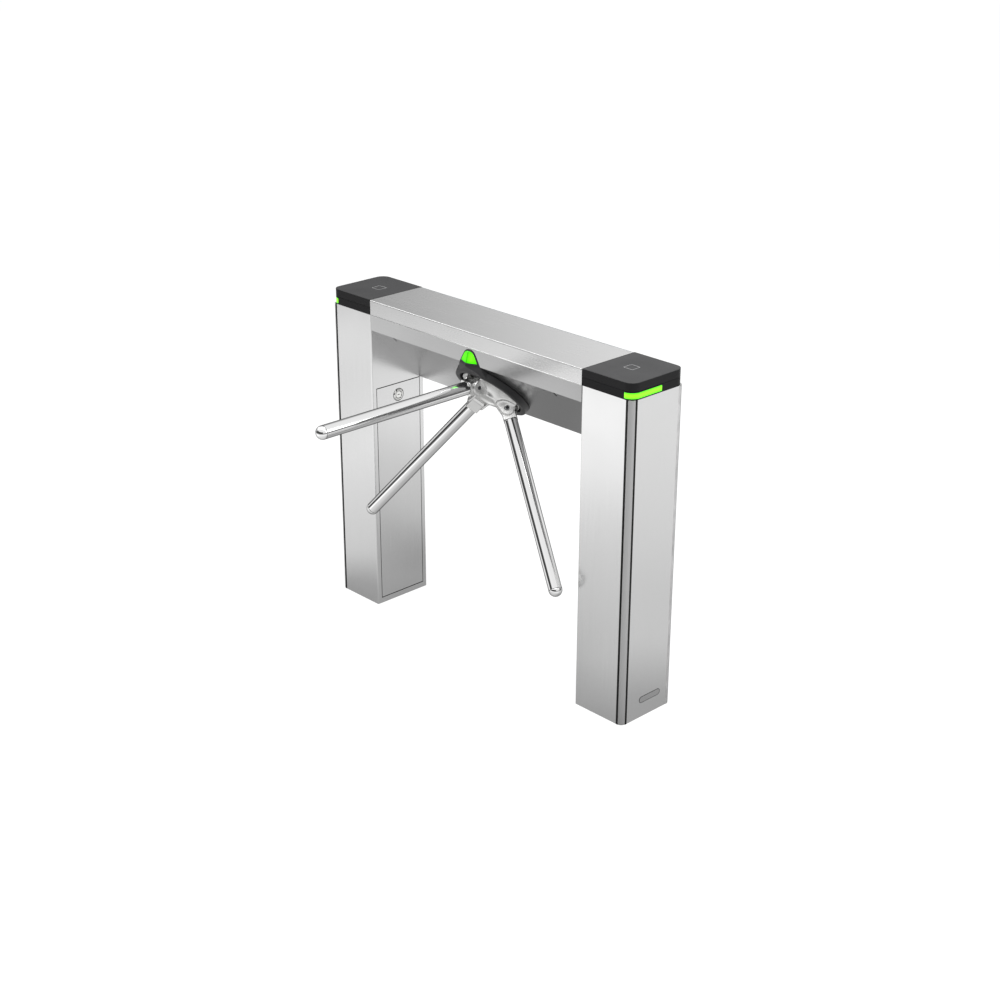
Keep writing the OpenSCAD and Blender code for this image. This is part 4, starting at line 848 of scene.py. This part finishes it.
# Door edging
# A thin black rubber edging runs round each door and closes most of the gap to the post.
# Its upright runs show half as wide as the top one.
edging_in, edging_out, edging_proud, edging_deep = 0.0018, 0.0004, 0.00025, 0.0004
door_foot, upright_share = 0.018, 0.5
edging_profile = np.array(
    [
        (-edging_in, -edging_deep),
        (edging_out, -edging_deep),
        (edging_out, edging_proud),
        (-edging_in, edging_proud),
    ]
)
for side_name, sign in (("left", 1), ("right", -1)):
    low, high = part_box(f"{side_name}_door")
    face_x = high.x if sign > 0 else low.x
    round_door = [(1, -1), (1, 1), (-1, 1), (-1, -1)][::sign]
    corners = np.array([(face_x, y * high.y, high.z if z > 0 else door_foot) for y, z in round_door])
    outward_ways = np.array([(0, upright_share * y, z) for y, z in round_door])
    edging_path = (corners, outward_ways, np.tile([float(sign), 0, 0], (4, 1)))
    edging = new_object(f"{side_name}_door_edging", *tube(edging_path, edging_profile), smooth=False)
    edging.data.materials.append(sealant)
    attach(edging, f"{side_name}_door")


# Door locks
# A cam lock sits at the top of each door. A bevelled ring of nickel-plated zinc lies on a thin gasket,
# and the plated plug in it has a key slot.
nickel = polished("nickel_plate", "#E6E6E4", 0.09)
dress(nickel, "left_lock_plug", "right_lock_plug")
ring_r, ring_flat, ring_inner, ring_t, ring_edge = 0.019, 0.0158, 0.0108, 0.0025, 0.0009
gasket_back, gasket_t, gasket_wider, gasket_inset = 0.00005, 0.0005, 0.0009, 0.001
key_half, key_narrow, key_deep, key_proud = 0.0021, 0.45, 0.0004, 0.00015
gasket_profile = [
    (0, gasket_back),
    (ring_r + gasket_wider, gasket_back),
    (ring_r + gasket_wider, gasket_t),
    (ring_r - gasket_inset, gasket_t),
    (0, gasket_t),
]
bevel = np.array(
    [
        (ring_r, gasket_t),
        (ring_r, ring_edge),
        (ring_flat, ring_t + 0.0004),
        (ring_flat - 0.0014, ring_t + 0.0006),
        (ring_inner + 0.0012, ring_t + 0.0002),
        (ring_inner, ring_edge),
        (ring_inner, gasket_t),
    ]
)
key_profile = [(0, -key_deep), (key_half, -key_deep), (key_half, key_proud), (0, key_proud)]
for side_name, sign in (("left", 1), ("right", -1)):
    low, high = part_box(f"{side_name}_lock_ring")
    door_face = (high.x if sign > 0 else low.x) - sign * ring_t
    middle = np.array([door_face, 0.0, (low.z + high.z) / 2])
    out_way = (sign, 0, 0)
    gasket = new_object(f"{side_name}_lock_gasket", *turned(gasket_profile, middle, out_way, 40))
    gasket.data.materials.append(sealant)
    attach(gasket, f"{side_name}_door")
    u = np.array([0.0, sign, 0.0])
    round_way = np.cos(angle)[:, None] * u + np.sin(angle)[:, None] * np.array([0.0, 0.0, 1.0])
    ring_path = (middle + 0 * round_way, round_way, np.tile(np.array(out_way, float), (len(angle), 1)))
    ring = new_object(f"{side_name}_lock_bevel", *tube(ring_path, bevel))
    ring.data.materials.append(nickel)
    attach(ring, f"{side_name}_door")
    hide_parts(f"{side_name}_lock_ring")
    plug_low, plug_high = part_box(f"{side_name}_lock_plug")
    plug_face = plug_high.x if sign > 0 else plug_low.x
    # the key slot is drawn as a dark oval on the plug's face: painted shade for the hollow of the slot
    key_points, key_faces = turned(key_profile, (plug_face, 0.0, middle[2]), out_way)
    key_slot = new_object(f"{side_name}_key_slot", key_points * (1, key_narrow, 1), key_faces)
    key_slot.data.materials.append(black_oxide_and_slot_shade)
    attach(key_slot, f"{side_name}_lock")


# Inside
# Zinc-plated brackets, machined steel, a brass gear, black solenoids and the circuit board sit under the lid
# and in the posts.
dress(chrome, "hinge_pin", "shaft_bearings", "release_rod")
zinc = brushed("zinc_plate", "#B4B6B8", along_x, 0.4, 0.2)
dress(zinc, "left_base_plate", "right_base_plate", "beam_end_plates", "lid_hinge_leaf", "beam_hinge_leaf")
dress(zinc, "mounting_plate", "bridge_plate", "solenoid_brackets", "sensor_bracket", "power_supply")
machined = cast("machined_steel", "#B2B4B6", 0.25, 0.0015)
dress(machined, "pivot_pins", "drive_shaft", "index_wheel", "damper_pinion", "bridge_posts")
dress(machined, "entry_pawl", "exit_pawl", "entry_plunger", "exit_plunger")
dress(cast("machined_brass", "#C9A45A", 0.25, 0.0015), "damper_gear", "position_sensors")
nylon = plastic("nylon_black", "#161616", 0.35, 0.001, 0.1)
dress(nylon, "card_readers", "rotary_damper", "entry_solenoid", "exit_solenoid", "drop_solenoid")
dress(plastic("circuit_board", "#1C5A32", 0.35, 0.002, 0.1), "control_board")


# Inner fasteners
# Zinc-plated steel. Hexagon nuts hold the mounting plate, the bridge plate and the beam's end plates,
# cap screws the bearing housing and the damper, and pan-head screws the two leaves of the lid hinge.


def hexagon(across_flats, high):
    """Profile of a hexagon nut, to be turned with six sides. Its corners lie half the width over flats,
    divided by the cosine of 30 degrees, from its middle."""
    corner = across_flats / sqrt(3)
    return [(0, 0), (corner, 0), (corner, 0.88 * high), (0.88 * corner, high), (0, high)]


bright_zinc = cast("bright_zinc_plate", "#CFD1D3", 0.3, 0.0015)


def fasteners(name, body, solids, smooth):
    """Several fasteners as one piece that rides on body."""
    made = new_object(name, *joined(solids), smooth=smooth)
    made.data.materials.append(bright_zinc)
    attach(made, body)


inwards = head_way(0, 0, 0, -1)
m8_nut, m6_nut = hexagon(0.013, 0.0065), hexagon(0.010, 0.005)
m6_screw, m4_screw = screw_head(0.005, 0.006, 0.0025, 0.003), screw_head(0.0035, 0.0035, 0.0016, 0.0018)

# how far out of the slanted face each one sits, and its x and its place up the face
mount_back, flange_back, bridge_back, damper_ear_back = -0.008, -0.018, -0.098, -0.101
mount_corners = [(x, y) for x in (-0.172, 0.172) for y in (-0.088, 0.088)]
bridge_posts = [(sign * x, y) for sign in (-1, 1) for x, y in ((0.096, -0.038), (0.074, 0.040))]
flange_r = 0.054
flange_ring = [(flange_r * cos(radians(a)), flange_r * sin(radians(a))) for a in range(30, 390, 60)]
damper_ears = [(-0.031, 0.054), (0.031, 0.054)]
mount_nuts = [turned(m8_nut, on_head(0, x, y, mount_back), inwards, 6) for x, y in mount_corners]
bridge_nuts = [turned(m6_nut, on_head(0, x, y, bridge_back), inwards, 6) for x, y in bridge_posts]
housing_screws = [turned(m6_screw, on_head(0, x, y, flange_back), inwards) for x, y in flange_ring]
damper_screws = [turned(m4_screw, on_head(0, x, y, damper_ear_back), inwards) for x, y in damper_ears]
fasteners("mounting_plate_nuts", "cabinet", mount_nuts, False)
fasteners("bridge_plate_nuts", "cabinet", bridge_nuts, False)
fasteners("housing_screws", "cabinet", housing_screws, True)
fasteners("damper_screws", "cabinet", damper_screws, True)

# bolts through the beam's end plates and the walls of the posts, with a nut in the post
beam_end, end_plate_t, wall_t = 0.425, 0.003, 0.002
end_holes = [(sign, y, z) for sign in (-1, 1) for y in (0.014, 0.066) for z in (0.836, 0.924)]
head_x, nut_x = beam_end - end_plate_t, beam_end + wall_t
bolt_heads = [turned(m8_nut, (sign * head_x, y, z), (-sign, 0, 0), 6) for sign, y, z in end_holes]
bolt_nuts = [turned(m8_nut, (sign * nut_x, y, z), (sign, 0, 0), 6) for sign, y, z in end_holes]
fasteners("beam_end_bolts", "cabinet", bolt_heads + bolt_nuts, False)

pan_recess = [(0.0011, 0.0019), (0.0009, 0.0008), (0, 0.0008)]
pan_head = [(0, 0), (0.0036, 0), (0.0034, 0.0009), (0.0026, 0.0016), *pan_recess]
screw_xs = np.linspace(-0.375, 0.375, 9)
lid_t, leaf_t = 0.002, 0.0015  # the leaf lies under the lid
leaf_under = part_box("lid_hinge_leaf")[1].z - lid_t - leaf_t
leaf_mid_y, leaf_face_y, leaf_mid_z = 0.0805, 0.0965, 0.9605
lid_screws = [turned(pan_head, (x, leaf_mid_y, leaf_under), (0, 0, -1), 16) for x in screw_xs]
beam_screws = [turned(pan_head, (x, leaf_face_y, leaf_mid_z), (0, -1, 0), 16) for x in screw_xs]
fasteners("lid_leaf_screws", "lid", lid_screws, True)
fasteners("beam_leaf_screws", "cabinet", beam_screws, True)
